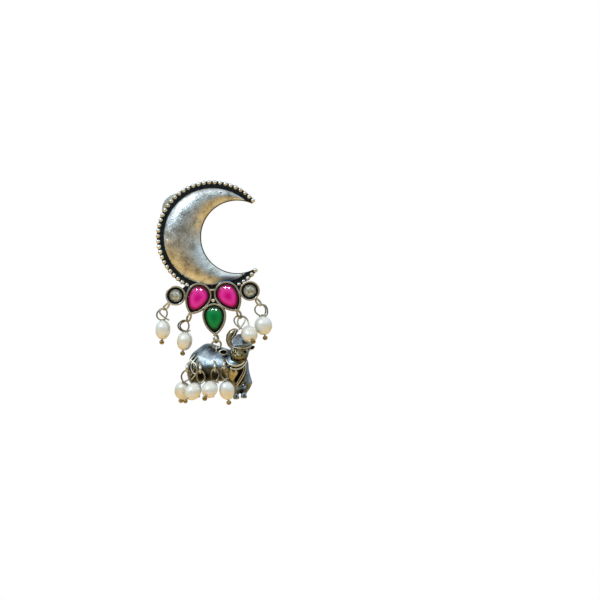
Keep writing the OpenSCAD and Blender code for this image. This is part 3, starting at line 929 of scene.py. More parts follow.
# Strands of the four side loops, from the point that each drop hangs on
SIDE_LOOPS = (
    [[(-0.3, -3.4, 0), (-0.2, -2.8, 0), (0.4, -2.15, -0.05), (0.66, -1.35, -0.1), (0.45, -0.45, -0.05),
      (-0.1, 0.02, 0), (-0.9, -0.2, 0.1), (-1.45, -0.9, 0.3), (-0.8, -1.8, 0.34), (0.2, -2.52, 0.36),
      (1.15, -3.0, 0.32)],
     [(0.1, -0.1, -0.2), (-0.7, 0.0, -0.15), (-1.55, -0.45, -0.05), (-2.1, -1.5, 0), (-1.9, -2.4, 0.05),
      (-1.2, -2.95, 0.15), (-0.45, -3.0, 0.25), (0.05, -2.85, 0.1)]],
    [[(-0.55, -3.3, 0), (-0.5, -2.9, 0), (-0.05, -2.5, -0.05), (0.24, -1.65, -0.1), (0.05, -0.7, -0.05),
      (-0.6, -0.1, 0), (-1.5, -0.15, 0.1), (-2.45, -0.9, 0.15), (-2.62, -1.7, 0.15), (-2.1, -2.55, 0.2),
      (-1.2, -2.95, 0.3), (-0.3, -3.05, 0.42), (0.55, -2.6, 0.45)],
     [(-0.1, -0.2, -0.2), (-1.0, -0.3, -0.12), (-1.9, -0.95, -0.05), (-2.15, -1.6, 0), (-1.7, -2.5, 0.1),
      (-0.9, -2.85, 0.2), (-0.35, -2.8, 0.3)]],
    [[(1.35, -3.3, 1.1), (0.75, -3.05, 0.9), (-0.1, -2.85, 0.6), (-1.1, -1.95, 0.35), (-1.65, -1.0, 0.2),
      (-1.15, 0.1, 0.05), (-0.2, 0.12, 0), (0.8, 0.15, -0.1), (1.7, -0.4, -0.05), (2.1, -1.3, 0.2),
      (2.2, -2.3, 0.6), (1.9, -2.9, 1.0)],
     [(0.9, -0.1, 0.15), (0.1, 0.0, 0.12), (-0.5, -0.5, 0.25), (-0.72, -1.5, 0.45), (-0.2, -2.5, 0.7),
      (0.3, -3.1, 0.85)],
     [(0.6, 0.05, -0.12), (1.35, -0.2, 0.1), (1.3, -1.1, 0.4), (0.75, -2.0, 0.75), (0.0, -2.85, 0.9),
      (-0.25, -3.2, 0.85)]],
    [[(0.5, -3.3, 0), (0.35, -2.95, 0), (-0.35, -2.75, 0.05), (-1.05, -2.15, 0.1), (-1.36, -1.3, 0.1),
      (-0.95, -0.35, 0.05), (-0.1, 0.02, 0), (0.75, -0.1, -0.05), (1.35, -0.75, -0.05), (1.55, -1.7, 0),
      (1.2, -2.8, 0.1), (0.85, -3.05, 0.3)],
     [(0.0, -0.15, -0.2), (1.0, 0.0, -0.15), (1.75, -0.6, -0.15), (1.95, -1.6, -0.1), (1.85, -2.75, 0),
      (1.3, -3.05, 0.25), (0.4, -3.02, 0.42), (-0.25, -2.95, 0.3)]],
)


def pearl(sizes, seed, wide=1.0, tall=1.0):
    """A drilled pearl along y, a little uneven, with a dimple at each end of its hole."""
    radius, half = sizes.pearl / MM / 2 * wide, sizes.pearl_height / MM / 2 * tall
    ball = sphere(44, 30, 1, rotation=(math.radians(90), 0, 0))
    shift = Vector((seed * 7.3, seed * 3.1, seed * 5.7))

    def uneven(place):
        swell = 1 + 0.03 * noise.noise(place * 1.3 + shift) + 0.008 * noise.noise(place * 4 + shift)
        across = math.hypot(place.x, place.z)
        dimple = 1 - 0.07 * math.exp(-((across / 0.13) ** 2))
        return Vector((place.x * radius * swell, place.y * half * dimple, place.z * radius * swell))

    reshape(ball, uneven)
    return ball


def headpin(sizes, matrix, bend, loop, extra=0.0):
    """Ball end, stem and coil below the knuckle, joined to the loop above it."""
    radius = sizes.pin / MM / 2
    ball_y = -REACH - extra - sizes.pearl_height / MM / 2 - 0.06 - 0.65
    top = -REACH - extra + sizes.pearl_height / MM / 2 + 0.3
    stem = rod(14, radius, top - ball_y, location=(0, (ball_y + top) / 2, 0),
        rotation=(math.radians(90), 0, 0))
    ball = sphere(26, 16, 0.63, location=(0, ball_y, 0), scale=(1, 0.92, 1))
    coil = wire([Vector((0.34 * math.cos(a), top - 0.02 - 0.06 * a, 0.34 * math.sin(a)))
        for a in [k * math.pi / 5 for k in range(11)]], radius * 0.92)
    for piece in (stem, ball, coil):
        piece.data.transform(matrix @ bent_matrix(KNUCKLE, *bend))
    low = matrix @ bent_matrix(KNUCKLE, *bend) @ Vector((0, ball_y, 0))
    return paint(joined([*loop, coil, stem, ball]), ("tarnished_wire", "tarnished_ball"),
        lambda face: (face.center - low).length < 0.75)


# ---------------------------------------------------------------- bull
# Places of the bottom wires of the four hooks, from the point where the bull hangs
HOOKS = [(-7.2, -5.7, 2.4), (-3.9, -5.9, 3.1), (-0.3, -5.5, 3.3), (2.0, -5.0, 4.1)]
# Masses of the cast body from the point where it hangs: x, y, towards the front, radius
BODY = [
    [(-2.0, -1.4, -2.3, 2.8), (-3.7, -3.2, -1.7, 3.2), (-0.8, -4.6, -0.9, 3.6)],
    [(-3.7, -3.2, -1.7, 3.2), (-4.3, -5.2, -0.7, 3.1), (-0.8, -4.6, -0.9, 3.6)],
    [(-2.0, -1.4, -2.3, 2.8), (-0.8, -4.6, -0.9, 3.6), (2.0, -4.5, -0.5, 3.4), (3.4, -2.8, 0.0, 2.5)],
    [(-0.8, -4.6, -0.9, 3.6), (2.0, -4.8, -0.4, 3.4), (3.8, -4.7, 0.2, 3.1)],
    [(3.8, -4.7, 0.2, 3.1), (6.0, -4.7, -0.3, 2.1)],
    [(3.8, -4.7, 0.2, 3.1), (3.7, -6.7, 0.5, 1.7)],
    [(3.4, -2.8, 0.0, 2.5), (4.8, -3.9, 1.3, 2.1), (5.3, -2.6, 0.6, 1.7)],
    [(4.2, -7.2, 0.3, 1.2), (6.6, -6.4, 0.0, 1.2), (7.0, -7.5, 0.1, 0.8), (5.2, -8.3, 0.5, 0.7),
     (5.3, -9.3, 0.7, 0.5)],
]
LEGS = [
    [(3.4, -6.6, 0.9, 1.6), (3.9, -8.2, 0.9, 1.05), (4.5, -9.8, 0.95, 0.72), (4.85, -11.0, 1.05, 0.66),
     (4.95, -11.8, 1.2, 0.66)],
    [(6.7, -3.4, 0.2, 1.3), (7.0, -5.2, 0.2, 1.12), (7.45, -6.9, 0.25, 1.05), (8.0, -8.4, 0.4, 1.0),
     (7.6, -9.6, 0.55, 0.85), (7.0, -10.6, 0.8, 0.75), (6.8, -11.3, 1.0, 0.68)],
    [(7.2, -9.9, 0.6, 0.8), (6.2, -10.1, 0.7, 0.85), (5.2, -10.5, 0.9, 0.75)],
    [(-5.0, -6.4, -0.8, 2.2), (-5.6, -8.8, -1.3, 0.9), (-5.2, -10.7, -1.5, 0.62), (-5.0, -11.3, -1.2, 0.62)],
    [(-1.6, -5.8, -2.2, 1.8), (-2.0, -8.8, -2.7, 0.9), (-1.7, -10.7, -2.9, 0.62), (-1.5, -11.3, -2.6, 0.62)],
]
# Lines laid on the bull: points, thickness, swell at each point and sides. First the two collar bands,
# brow, cap and horn ridge, then the two bridle lines down to the hoof, then rump and tail curls
TRIM_LINES = [
    ([(2.3, -1.6, 1.4), (2.25, -2.5, 2.1), (2.8, -3.5, 2.95), (3.9, -4.05, 3.5), (5.1, -4.2, 3.65),
      (6.2, -3.9, 3.3), (7.0, -3.2, 2.6), (7.4, -2.3, 1.7)], 0.3, None, 6),
    ([(2.0, -2.4, 1.1), (2.2, -3.5, 2.0), (3.0, -4.5, 2.9), (4.0, -4.95, 3.35), (5.1, -5.05, 3.45),
      (6.2, -4.75, 3.0), (7.0, -4.1, 2.2), (7.5, -3.1, 1.4)], 0.24, None, 6),
    ([(3.9, 1.0, 2.1), (4.05, 0.5, 2.7), (4.6, 0.35, 2.95), (5.1, 0.45, 3.05), (5.6, 0.15, 3.2),
      (6.4, 0.25, 3.1), (7.2, 0.15, 2.75), (8.1, 0.45, 2.25), (8.9, 0.9, 1.6)], 0.15,
     [0.6, 1.0, 0.8, 1.1, 0.9, 1.1, 0.9, 1.1, 0.7]),
    ([(4.2, 0.9, 2.35), (4.05, 1.5, 1.95), (3.75, 2.05, 1.7), (4.4, 2.7, 1.25), (5.3, 3.6, 0.8)], 0.15),
    ([(3.2, 1.5, 0.7), (3.55, 2.3, 0.8), (4.1, 3.1, 0.8), (4.6, 3.9, 0.75), (4.95, 4.5, 0.7)], 0.12),
    ([(7.15, -3.5, 1.7), (7.4, -4.9, 1.8), (6.95, -6.4, 1.95), (6.0, -7.9, 1.9), (5.1, -9.2, 1.65)], 0.2),
    ([(6.8, -4.0, 2.0), (6.95, -5.0, 2.05), (6.4, -6.4, 2.1), (5.5, -7.8, 2.0), (4.9, -8.8, 1.7)], 0.12),
    ([(-5.4, -1.6, 0.6), (-6.5, -2.6, 1.0), (-7.0, -4.2, 1.2), (-7.2, -5.8, 1.2), (-7.0, -7.4, 0.9),
      (-6.4, -8.3, 0.8)], 0.2),
    ([(-4.6, -2.0, 1.3), (-5.8, -3.0, 1.7), (-6.5, -4.4, 1.8), (-6.0, -5.8, 2.1), (-5.2, -6.4, 2.2),
      (-4.6, -5.7, 2.5), (-4.9, -4.7, 2.5)], 0.2, None, 5),
    ([(-6.2, -2.9, 1.4), (-5.1, -3.6, 2.1), (-4.5, -4.8, 2.6), (-5.0, -6.4, 2.3), (-6.2, -7.6, 1.6)], 0.18),
    ([(-5.9, -3.2, 1.7), (-5.2, -4.4, 2.3), (-5.5, -5.6, 2.2), (-6.4, -6.6, 1.6)], 0.13),
]
BELL = (4.9, -5.55, 3.1, 0.36)


def ball_at(mass):
    return sphere(24, 12, mass[3], location=mass[:3])


def lump(masses):
    """The skin stretched over a few balls."""
    group = joined([ball_at(mass) for mass in masses])
    pick(group, "VERT", everywhere)
    bpy.ops.mesh.convex_hull()
    done()
    return group


def limb(masses):
    return [lump([masses[i], masses[i + 1]]) for i in range(len(masses) - 1)]


def melted(pieces, voxel, rounds, cuts=()):
    """Joins overlapping masses into one skin, takes the cuts out of it and smooths the joints."""
    skin = joined(pieces)
    modify(skin, "REMESH", mode="VOXEL", voxel_size=voxel)
    for hollow in cuts:
        cut(skin, hollow)
    if cuts:
        modify(skin, "REMESH", mode="VOXEL", voxel_size=voxel)
    modify(skin, "SMOOTH", factor=0.5, iterations=rounds)
    return skin


def press(piece, strokes):
    """Sculpting strokes: each has a start, an end, a width and a height, which is negative for a groove."""
    for start, end, width, height in strokes:
        start, end = Vector(start), Vector(end)
        run = end - start
        long = max(run.length_squared, 1e-9)
        middle, reach = (start + end) / 2, run.length / 2 + width
        for vertex in piece.data.vertices:
            if (vertex.co - middle).length > reach:
                continue
            part = min(max((vertex.co - start).dot(run) / long, 0), 1)
            gap = (vertex.co - start - part * run).length
            if gap < width:
                fall = (1 - (gap / width) ** 2) ** 2
                vertex.co += vertex.normal * height * fall
        piece.data.update()


def mark_wear(piece, rounds=14, strength=5.0):
    """Stores wear, high on ridges and low in hollows, and an empty layer for a painted warm reflection."""
    rough = [v.co.copy() for v in piece.data.vertices]
    normals = [v.normal.copy() for v in piece.data.vertices]
    twin = copied(piece, Matrix.Identity(4))
    modify(twin, "SMOOTH", factor=0.6, iterations=rounds)
    wear_and_painted_light = piece.data.attributes.new("wear_and_painted_light", "FLOAT", "POINT")
    piece.data.attributes.new("warm_reflection", "FLOAT", "POINT")
    for number, vertex in enumerate(twin.data.vertices):
        out = (rough[number] - vertex.co).dot(normals[number])
        wear_and_painted_light.data[number].value = min(max(0.42 + strength * out, 0), 1)
    bpy.data.objects.remove(twin)


def tint(piece, marks, layer="wear_and_painted_light"):
    """Lowers or raises an attribute round chosen points; each mark has its point, reach and amount."""
    values = piece.data.attributes[layer].data
    points = [vertex.co for vertex in piece.data.vertices]
    for spot, radius, amount in marks:
        spot = Vector(spot)
        for number, point in enumerate(points):
            gap = (point - spot).length
            if gap < radius:
                raised = values[number].value + amount * (1 - (gap / radius) ** 2)
                values[number].value = min(max(raised, 0), 1)


def bull_body():
    pieces = [lump(masses) for masses in BODY]
    for leg in LEGS:
        pieces += limb(leg)
    # The hollow between the forelegs
    between = [lump([(6.5, -4.3, 2.4, 0.35), (6.3, -5.4, 1.9, 0.7), (5.5, -8.0, 1.7, 0.55)]),
        lump([(5.5, -8.0, 1.7, 0.55), (5.6, -8.8, 1.6, 0.35)])]
    body = melted(pieces, 0.14, 34, between)
    press(body, [
        ((-5.1, -4.2, 1.0), (-5.0, -6.0, 1.4), 1.7, 0.25),
        ((3.4, -4.6, 3.2), (3.8, -7.2, 2.2), 1.3, 0.25), ((2.0, -6.6, 2.6), (2.2, -7.4, 2.2), 0.9, -0.2),
        ((8.2, -8.6, 1.0), (8.2, -8.6, 1.0), 0.8, 0.15)])
    mark_wear(body, 10, 2.5)
    # Painted shade between the forelegs, under the belly, on the neck, along the top of the back, on the rump
    # and near the hooves; painted highlight in a band across the flank. The row of small marks darkens the
    # groove between the collar bands
    tint(body, [
        ((6.1, -5.6, 1.3), 1.6, -0.5), ((5.6, -7.2, 1.0), 1.6, -0.5), ((5.4, -8.4, 1.0), 1.0, -0.4),
        ((-5.0, -6.6, 2.0), 3.2, -0.22), ((-1.5, -7.6, 2.6), 3.4, -0.25), ((1.4, -7.8, 2.6), 2.4, -0.2),
        ((2.6, -2.0, 1.8), 1.8, -0.25), ((-6.4, -2.4, -0.2), 2.6, -0.15), ((-0.4, 0.0, 0.4), 2.2, -0.25),
        ((-2.8, 0.9, -0.6), 1.8, -0.15), ((6.2, -10.6, 1.0), 1.3, -0.3), ((-3.0, -1.8, 1.4), 1.8, 0.12),
        ((-0.8, -3.0, 2.6), 2.0, 0.16), ((1.0, -3.6, 2.9), 1.6, 0.1),
        *[((x, y, z), 0.62, -0.5) for x, y, z in ((1.9, -2.0, 1.4), (1.9, -3.0, 2.0), (2.5, -3.9, 2.6),
        (3.4, -4.55, 3.1), (4.5, -4.75, 3.3), (5.6, -4.6, 3.1), (6.4, -4.1, 2.6), (2.3, -4.8, 2.5),
        (3.2, -5.35, 3.0), (4.4, -5.5, 3.2), (5.4, -5.4, 3.0))]])
    # Painted highlight on the chest and the foreleg
    tint(body, [((3.8, -6.4, 3.4), 2.2, 0.45), ((4.4, -9.4, 1.6), 1.6, 0.2)])
    # Painted warm reflection on the chest, forelegs, belly, rump and hind leg
    tint(body, [((3.6, -6.6, 3.0), 3.2, 1.0), ((4.4, -9.5, 1.4), 2.6, 1.0), ((-1.5, -8.2, 2.2), 4.6, 0.8),
        ((-6.0, -4.6, 1.0), 3.6, 1.0), ((-4.2, -8.0, 1.0), 3.4, 0.8), ((7.6, -9.6, 1.4), 1.4, 0.6)], "warm_reflection")
    return body


def bull_head():
    """Flat forehead, brow, cheeks, broad muzzle and chin, with mouth, nostrils and eyes pressed in."""
    forehead = [(5.5, 3.3, 0.5, 0.4), (4.1, 2.05, 1.4, 0.36), (4.6, 0.75, 2.3, 0.6), (8.5, 1.1, 1.2, 0.5),
        (8.2, 2.6, 0.2, 0.5), (6.5, 0.9, 2.3, 0.7), (6.4, 2.0, 1.3, 0.9), (7.0, 3.4, 0.1, 0.6)]
    skull = [(4.6, 0.1, 1.4, 1.1), (7.5, 0.2, 0.9, 1.1), (6.0, 1.4, -0.2, 1.2), (5.2, -1.2, 0.2, 1.7)]
    face = [(4.4, -0.6, 2.0, 1.05), (7.2, -0.55, 1.8, 1.0), (4.6, -1.7, 2.5, 1.15), (6.9, -1.6, 2.4, 1.05)]
    bridge = [(5.9, 0.1, 2.6, 0.6), (5.4, -1.2, 3.3, 0.75), (6.4, -1.2, 3.2, 0.72)]
    muzzle = [(4.6, -1.95, 3.1, 0.78), (5.75, -1.8, 3.6, 0.82), (6.9, -1.75, 3.0, 0.74),
        (5.7, -2.35, 3.1, 0.6)]
    chin = [(4.4, -2.6, 2.2, 1.0), (5.4, -2.85, 2.65, 1.0), (6.7, -2.5, 2.2, 0.95), (5.4, -2.0, 1.2, 1.6)]
    throat = [(5.3, -3.0, 1.4, 1.6), (5.0, -2.0, 0.6, 2.2), (5.2, -4.0, 1.2, 1.5)]
    parts = (forehead, skull, face, bridge, muzzle, chin, throat)
    head = melted([lump(masses) for masses in parts], 0.075, 18)
    mouth = [(3.9, -2.2, 3.1), (4.6, -2.65, 3.5), (5.3, -2.85, 3.7), (6.0, -2.85, 3.7), (6.7, -2.6, 3.4),
        (7.4, -2.1, 2.9)]
    press(head, [
        ((4.25, -0.65, 3.1), (4.25, -0.65, 3.1), 0.76, -0.3),
        ((7.05, -0.6, 2.8), (7.05, -0.6, 2.8), 0.72, -0.3),
        *[(mouth[i], mouth[i + 1], 0.34, -0.13) for i in range(5)],
        ((5.3, -1.75, 4.3), (5.1, -1.6, 4.1), 0.24, -0.2), ((6.3, -1.7, 4.2), (6.5, -1.55, 4.0), 0.24, -0.2),
        ((3.9, 0.35, 2.6), (5.2, 0.15, 3.0), 0.36, 0.2), ((5.2, 0.15, 3.0), (8.4, 0.3, 2.0), 0.36, 0.2)])
    mark_wear(head, 10, 5.0)
    # Darkens the eyes, the mouth line and the nostrils; painted shade under the chin, at the sides of the jaw
    # and between the near ear and the face; painted highlight on the muzzle
    tint(head, [
        ((4.25, -0.65, 3.0), 0.66, -0.6), ((7.05, -0.6, 2.7), 0.64, -0.6),
        *[(spot, 0.5, -0.16) for spot in mouth], ((5.2, -1.7, 4.2), 0.26, -0.6),
        ((6.4, -1.65, 4.1), 0.26, -0.6), ((5.2, -3.9, 3.2), 1.4, -0.2), ((3.4, -2.6, 2.2), 1.2, -0.3),
        ((7.6, -2.6, 2.0), 1.2, -0.25), ((3.2, -0.6, 1.8), 1.0, -0.25), ((5.7, -1.6, 4.0), 1.4, 0.12)])
    # Painted warm reflection on the muzzle and chin
    tint(head, [((5.6, -1.9, 3.0), 3.0, 1.9), ((5.2, -3.6, 2.6), 1.8, 0.8)], "warm_reflection")
    return head


def bull_horns():
    """The near horn is broad and curves up behind the forehead; the far one shows behind the head."""
    near = melted(limb([
        (4.1, 0.5, 0.2, 0.75), (3.55, 1.3, -0.1, 0.95), (3.35, 2.2, -0.3, 1.08),
        (3.5, 3.1, -0.35, 1.15), (3.9, 3.8, -0.25, 1.08), (4.35, 4.3, -0.1, 0.85), (4.8, 4.55, 0.1, 0.6),
        (5.2, 4.6, 0.3, 0.36)]), 0.1, 26)
    far = melted(limb([(7.7, 2.2, -0.6, 0.85), (8.2, 2.9, -1.0, 0.75), (8.4, 3.6, -1.3, 0.6),
        (8.2, 4.2, -1.5, 0.4)]), 0.1, 12)
    for horn in (near, far):
        mark_wear(horn, 10, 4.0)
    # Painted shade along the near horn's inner side next to the forehead, and a painted highlight on its
    # outer side
    tint(near, [((4.6, 3.2, 0.6), 1.1, -0.7), ((4.2, 2.2, 0.6), 1.0, -0.7), ((5.0, 4.0, 0.5), 0.6, -0.5),
        ((3.4, 3.2, 0.6), 1.6, 0.12)])
    # Painted warm reflection on the near horn
    tint(near, [((3.6, 3.3, 0.0), 2.8, 0.7)], "warm_reflection")
    return joined([near, far])


def leaf_ear(middle, long, wide, lean, face):
    """A leaf-shaped ear with a thin raised rim round a deep hollow."""
    ear = sphere(48, 32, 1)
    hollow = []

    def leaf(place):
        taper = 1 - 0.42 * max(place.x, 0) ** 2
        across = math.hypot(place.x / 0.8, place.y / 0.72)
        depth = (1 - min(across, 1) ** 4) if place.z > 0 else 0.0
        hollow.append(depth)
        return Vector((place.x * long, place.y * wide * taper, place.z * 0.42 * (1 - depth) - 0.12 * depth))

    reshape(ear, leaf)
    wear_and_painted_light = ear.data.attributes.new("wear_and_painted_light", "FLOAT", "POINT")
    for each, depth in zip(wear_and_painted_light.data, hollow):
        each.value = 0.72 - 1.2 * min(depth * 1.5, 1)
    turn = Euler((0, math.radians(face), math.radians(lean)), "XYZ").to_matrix().to_4x4()
    ear.data.transform(Matrix.Translation(middle) @ turn)
    return ear


def bull_trim():
    """Collar bands, bell, eyes, brow, rope lines, tail curls, hooks and the loop on the back."""
    parts = [*[arc(*line) for line in TRIM_LINES], ball_at(BELL)]
    for x, y, z, turn, lean in ((4.35, -0.66, 2.98, -12, 12), (7.05, -0.62, 2.62, 16, -8)):
        parts.append(ball_at((x, y, z, 0.3)))
        lid = [Vector((0.62 * math.cos(a), 0.3 * math.sin(a) + (0.08 if math.sin(a) > 0 else 0),
            0.1 * abs(math.sin(a)))) for a in [2 * math.pi * k / 14 for k in range(14)]]
        spin = Euler((0, math.radians(turn), math.radians(lean)), "XYZ")
        for point in lid:
            point.rotate(spin)
            point += Vector((x, y, z + 0.14))
        parts.append(wire(lid, 0.1, closed=True, sides=4))
    for x, y, z in HOOKS:
        # The first hook grows from the rump's right, clear of the second drop when the bull swings
        inward = 1.6 if x < -6 else -0.25
        claw = [(x + inward, y + 2.5, z - 1.7), (x + 0.4 * inward, y + 2.2, z - 0.7),
            (x, y + 1.75, z + 0.15), (x, y + 1.2, z + 0.66), (x, y + 0.5, z + 0.72), (x, y + 0.06, z + 0.3),
            (x, y + 0.0, z - 0.3), (x, y + 0.4, z - 0.75), (x, y + 0.9, z - 0.85)]
        parts.append(arc(claw, 0.34, [1.1, 1.2, 1.25, 1.15, 1.0, 0.92, 0.86, 0.8, 0.7], 6))
    loop = added(bpy.ops.mesh.primitive_torus_add, major_segments=36, minor_segments=12, major_radius=0.8,
        minor_radius=0.26, location=(0, -0.24, 0), rotation=(0, math.radians(90), 0))
    parts.append(settle(loop))
    trim = joined(parts)
    trim.data.materials.clear()
    wear_and_painted_light = trim.data.attributes.get("wear_and_painted_light") or trim.data.attributes.new("wear_and_painted_light", "FLOAT", "POINT")
    for each in wear_and_painted_light.data:
        each.value = 0.6
    return trim


def hooves():
    """Blunt hooves, cleft at the toe."""
    feet = [(4.95, -12.0, 1.5), (6.85, -11.75, 1.3), (-4.9, -11.7, -1.0), (-1.4, -11.7, -2.4)]
    pieces = [lump([(x - 0.42, y - 0.15, z + 0.2, 0.4), (x + 0.42, y - 0.15, z + 0.2, 0.4),
        (x - 0.3, y - 0.15, z - 0.5, 0.4), (x + 0.3, y - 0.15, z - 0.5, 0.4), (x, y + 0.5, z, 0.55)])
        for x, y, z in feet]
    cast = melted(pieces, 0.08, 4)
    press(cast, [((x, y - 0.5, z + 0.75), (x, y + 0.4, z + 0.5), 0.22, -0.22) for x, y, z in feet])
    mark_wear(cast, 8, 6.0)
    return cast


def pin_strands(strands, radius):
    """Hand-bent wire strands of one pin."""
    return [wire([Vector(point) for point in strand], radius) for strand in strands]


def hook_loop(radius, wide, tall, seed, tail):
    """A long loop over a hook's wire, closed by crossing strands and a cut end."""
    chance = random.Random(seed)
    top = 0.47
    middle = top - tall / 2
    points = [Vector((0, top - tall - 0.25, 0))]
    for step in range(15):
        angle = math.radians(-105 - step * 335 / 14)
        grow = 1 + 0.06 * math.sin(step * 1.3 + seed)
        points.append(Vector((wide / 2 * grow * math.cos(angle), middle + tall / 2 * math.sin(angle),
            -0.16 + 0.36 * step / 14)))
    last = points[-1]
    points.append(last + Vector((tail * 0.3, -0.25, 0.12)))
    points.append(last + Vector((tail * (0.85 + chance.uniform(-0.1, 0.1)), -0.4, 0.16)))
    return [wire(points, radius)]


# ---------------------------------------------------------------- operators
class EARRING_OT_crescent(Operator):
    """Builds the crescent: back plate, domed face, rim beads and ear post"""
    bl_idname = "earring.crescent"
    bl_label = "Crescent"

    def execute(self, context):
        sizes = context.scene.crescent_sizes
        plate = crescent_plate(sizes)
        paint(plate, ("back_silver", "oxidised_silver"), lambda face: face.normal.z > 0.9)
        delivered(plate, "crescent_plate", "root", None, ["frame"], smooth=20)
        delivered(crescent_dome(sizes), "crescent_dome", "root", finish("crescent_silver"),
            smooth=60)
        delivered(rim_beads(sizes), "rim_beads", "root", finish("bright_silver"), smooth=80)
        delivered(ear_post(), "ear_post", "root", finish("link_silver"))
        return {"FINISHED"}


class EARRING_OT_ear_nut(Operator):
    """Builds the disc nut behind the crescent"""
    bl_idname = "earring.ear_nut"
    bl_label = "Ear nut"

    def execute(self, context):
        delivered(ear_nut(), "ear_disc_nut", "root", finish("nut_silver"), ["ear_nut"])
        return {"FINISHED"}


class EARRING_OT_settings(Operator):
    """Builds the stone settings with their web, trim and eyelets"""
    bl_idname = "earring.settings"
    bl_label = "Settings"

    def execute(self, context):
        sizes = context.scene.stone_sizes
        delivered(pear_settings(sizes), "pear_settings", "root", None)
        delivered(round_settings(sizes), "round_settings", "root", None)
        web = paint(web_plate(), ("oxidised_silver", "back_silver"), lambda face: face.normal.z < -0.5)
        delivered(web, "setting_web", "root", None)
        delivered(small_trim(), "setting_trim", "root", finish("bright_silver"), smooth=60)
        delivered(eyelets(), "eyelets", "root", finish("link_silver"), smooth=60)
        return {"FINISHED"}


class EARRING_OT_stones(Operator):
    """Builds the three smooth pear stones and the two faceted round stones"""
    bl_idname = "earring.stones"
    bl_label = "Stones"

    def execute(self, context):
        sizes = context.scene.stone_sizes
        for point, turn, radius, length, _, name, glass in PEARS:
            stone = at(cabochon(radius, length, sizes), point, 0, turn)
            delivered(stone, f"cabochon_{name}", "root", finish(f"{glass}_glass"),
                [f"stone_{name}"], smooth=70)
        for name, point, turn in (("white_left", ROUND_LEFT, 10), ("white_right", ROUND_RIGHT, 31)):
            stone = at(faceted_stone(sizes), point, 0, turn)
            delivered(stone, f"cut_{name}", "root", finish("foiled_glass"),
                [f"stone_{name}"], smooth=5)
        return {"FINISHED"}


class EARRING_OT_side_drops(Operator):
    """Builds the four pearl drops under the settings"""
    bl_idname = "earring.side_drops"
    bl_label = "Side drops"

    def execute(self, context):
        sizes = context.scene.drop_sizes
        leans, tips, bends = (-5, -9.5, 29, 9), (0, 0, 15, 0), (0, 0, 15 - 48, 0)
        extras = (0, 0, 1, 0)
        shapes = ((0.92, 1.03), (0.96, 1.0), (1.0, 1.0), (1.1, 1.0))
        for number in range(4):
            hang = hanging_point(number)
            matrix = drop_matrix(hang, LINK_LEVEL, leans[number], tips[number])
            bend = (bends[number], 0)
            body = pearl(sizes, sizes.seed + number, *shapes[number])
            body.data.transform(matrix @ bent_matrix(KNUCKLE, *bend)
                @ Matrix.Translation((0, -REACH - extras[number], 0)))
            delivered(body, f"drop_pearl_{number + 1}", "root", finish("nacre"),
                [f"pearl_{number + 1}"], smooth=80)
            loop = pin_strands(SIDE_LOOPS[number], sizes.pin / MM / 2 * 1.1)
            for strand in loop:
                strand.data.transform(Matrix.Translation((*hang, LINK_LEVEL)))
            pin = headpin(sizes, matrix, bend, loop, extras[number])
            delivered(pin, f"drop_pin_{number + 1}", "root", None, [f"headpin_{number + 1}"],
                smooth=60)
        return {"FINISHED"}


class EARRING_OT_jump_ring(Operator):
    """Builds the ring that carries the bull"""
    bl_idname = "earring.jump_ring"
    bl_label = "Jump ring"

    def execute(self, context):
        ring = added(bpy.ops.mesh.primitive_torus_add, major_segments=56, minor_segments=16,
            major_radius=RING_RADIUS, minor_radius=LINK_WIRE / 2, location=(*RING_MIDDLE, LINK_LEVEL))
        settle(ring)
        delivered(ring, "link_ring", "ring", finish("link_silver"), ["jump_ring"], smooth=80)
        return {"FINISHED"}


class EARRING_OT_bull(Operator):
    """Builds the cast bull pendant"""
    bl_idname = "earring.bull"
    bl_label = "Bull"

    def execute(self, context):
        lift = Matrix.Translation((*BULL_HANG, LINK_LEVEL))
        ears = joined([leaf_ear((1.8, -0.75, 2.8), 1.15, 0.76, 176, -12),
            leaf_ear((8.9, 0.3, 1.3), 0.85, 0.55, 30, 25)])
        pieces = {"body": bull_body(), "head": bull_head(), "horns": bull_horns(), "ears": ears,
            "hooves": hooves(), "trim": bull_trim()}
        for name, piece in pieces.items():
            piece.data.transform(lift)
            piece.data.materials.clear()
            coat = "trim_silver" if name in ("horns", "ears", "trim") else "bull_silver"
            delivered(piece, f"bull_{name}", "pendant", finish(coat),
                ["bull"] if name == "body" else [], smooth=80)
        return {"FINISHED"}


class EARRING_OT_bull_drops(Operator):
    """Builds the four pearl drops under the bull"""
    bl_idname = "earring.bull_drops"
    bl_label = "Bull drops"

    def execute(self, context):
        sizes = context.scene.drop_sizes
        hook_leans, leans, tips = (-22, 5, 0, 8), (-10, -39, -28, 8), (-32, 13, 37, -10)
        for number, (x, y, z) in enumerate(HOOKS):
            hang = BULL_HANG + Vector((x, y))
            matrix = (drop_matrix(hang, LINK_LEVEL + z, hook_leans[number], 0)
                @ Matrix.Translation((0, 0.05, 0)))
            bend = (-tips[number], leans[number] - hook_leans[number])
            body = pearl(sizes, sizes.seed + 10 + number, 0.97)
            body.data.transform(matrix @ bent_matrix(KNUCKLE, *bend) @ Matrix.Translation((0, -REACH, 0)))
            delivered(body, f"bull_drop_pearl_{number + 1}", "pendant", finish("nacre"),
                [f"bull_pearl_{number + 1}"], smooth=80)
            loop = hook_loop(sizes.pin / MM / 2 * 1.15, 2.0, 3.0, number + 5, (-1) ** number)
            for strand in loop:
                strand.data.transform(matrix)
            pin = headpin(sizes, matrix, bend, loop)
            delivered(pin, f"bull_drop_pin_{number + 1}", "pendant", None,
                [f"bull_headpin_{number + 1}"], smooth=60)
        return {"FINISHED"}


